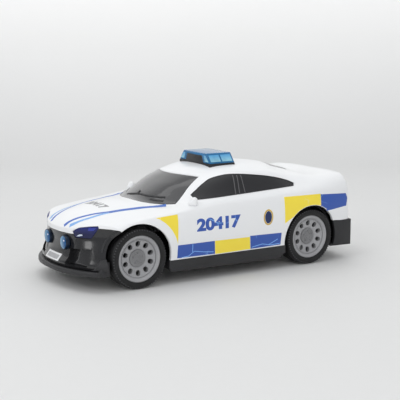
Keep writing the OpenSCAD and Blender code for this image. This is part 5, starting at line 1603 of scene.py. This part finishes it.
class TOYCAR_OT_stage(ToyCarOperator, bpy.types.Operator):
    """Sets the pale floor and backdrop, the soft lights and the camera"""

    bl_idname = "toycar.stage"
    bl_label = "Stage"

    def execute(self, context):
        self.backdrop()
        for name, settings in LIGHTS.items():
            self.light(name, *settings)
        world = bpy.data.worlds.new("Studio")
        world.use_nodes = True
        background = world.node_tree.nodes["Background"].inputs
        background["Color"].default_value = WORLD_COLOUR
        background["Strength"].default_value = WORLD_STRENGTH
        context.scene.world = world
        context.scene.view_settings.view_transform = "Standard"
        deselect()
        bpy.ops.object.camera_add()
        camera = named("photo_camera")
        camera.data.sensor_width = CAMERA_SENSOR
        camera.data.lens = CAMERA_LENS
        camera.data.clip_start = 0.01
        level, tilt = cos(CAMERA_PITCH), sin(CAMERA_PITCH)
        up = CAMERA_AWAY * tilt + Vector((0, 0, level))
        back = CAMERA_AWAY * -level + Vector((0, 0, tilt))
        turn = Matrix((CAMERA_RIGHT, up, back)).transposed().to_4x4()
        camera.matrix_world = Matrix.Translation(CAMERA_PLACE) @ turn
        context.scene.camera = camera
        return {"FINISHED"}

    def backdrop(self):
        """A floor that curves up behind the car, square to the camera."""
        wall = BEND_START + BEND_RADIUS
        bend = np.linspace(0, pi / 2, 13)[1:]
        profile = [(d, 0.0) for d in np.linspace(FLOOR_START, BEND_START, 26)]
        profile += [(BEND_START + BEND_RADIUS * sin(a), BEND_RADIUS * (1 - cos(a))) for a in bend]
        profile += [(wall, z) for z in np.linspace(BEND_RADIUS, WALL_TOP, 12)[1:]]
        across = np.linspace(-FLOOR_HALF, FLOOR_HALF, 23)
        rows = []
        for distance, height in profile:
            middle = CAMERA_AWAY * distance + Vector((0, 0, height))
            rows.append([tuple((CAMERA_RIGHT * u + middle) / MM) for u in across])
        floor = sheet("studio_floor", rows)
        shade(floor, 60)
        look = plastic("Studio Paper")
        tree = look.node_tree
        glow = remap(tree, along(tree, "Z"), 0.0, 0.3, 0.0, WALL_GLOW)
        feed(tree, tree.nodes["Principled BSDF"].inputs["Emission Color"], glow)
        floor.data.materials.append(look)

    def light(self, name, place, target, side, watts, on_shiny, on_matt):
        """A square soft light that faces a target."""
        deselect()
        bpy.ops.object.light_add(type="AREA", location=place)
        lamp = named(name)
        lamp.data.size = side
        lamp.data.energy = watts
        lamp.visible_glossy = on_shiny
        lamp.visible_diffuse = on_matt
        lamp.rotation_euler = (Vector(target) - Vector(place)).to_track_quat("-Z", "Y").to_euler()


PIECES = (
    TOYCAR_OT_body_shell,
    TOYCAR_OT_windows,
    TOYCAR_OT_fascia,
    TOYCAR_OT_lamps,
    TOYCAR_OT_light_bar,
    TOYCAR_OT_wheels,
    TOYCAR_OT_chassis,
    TOYCAR_OT_stickers,
    TOYCAR_OT_inner_parts,
    TOYCAR_OT_stage,
)


class TOYCAR_PT_panel(bpy.types.Panel):
    """Sizes, colours and one button for each piece"""

    bl_idname = "TOYCAR_PT_panel"
    bl_label = "Toy Patrol Car"
    bl_space_type = "VIEW_3D"
    bl_region_type = "UI"
    bl_category = "Toy Car"

    def draw(self, context):
        column = self.layout.column(align=True)
        for operator in PIECES:
            column.operator(operator.bl_idname)
        for group in (context.scene.toy_car_sizes, context.scene.toy_car_colours):
            column = self.layout.column(align=True)
            for name in group.__annotations__:
                column.prop(group, name)


CLASSES = (ToyCarSizes, ToyCarColours, *PIECES, TOYCAR_PT_panel)


def register():
    for cls in CLASSES:
        bpy.utils.register_class(cls)
    bpy.types.Scene.toy_car_sizes = PointerProperty(type=ToyCarSizes)
    bpy.types.Scene.toy_car_colours = PointerProperty(type=ToyCarColours)


def unregister():
    del bpy.types.Scene.toy_car_colours
    del bpy.types.Scene.toy_car_sizes
    for cls in reversed(CLASSES):
        bpy.utils.unregister_class(cls)


def main():
    register()
    bpy.ops.toycar.body_shell()
    bpy.ops.toycar.windows()
    bpy.ops.toycar.fascia()
    bpy.ops.toycar.lamps()
    bpy.ops.toycar.light_bar()
    bpy.ops.toycar.wheels()
    bpy.ops.toycar.chassis()
    bpy.ops.toycar.stickers()
    bpy.ops.toycar.inner_parts()
    bpy.ops.toycar.stage()


if __name__ == "__main__":
    main()
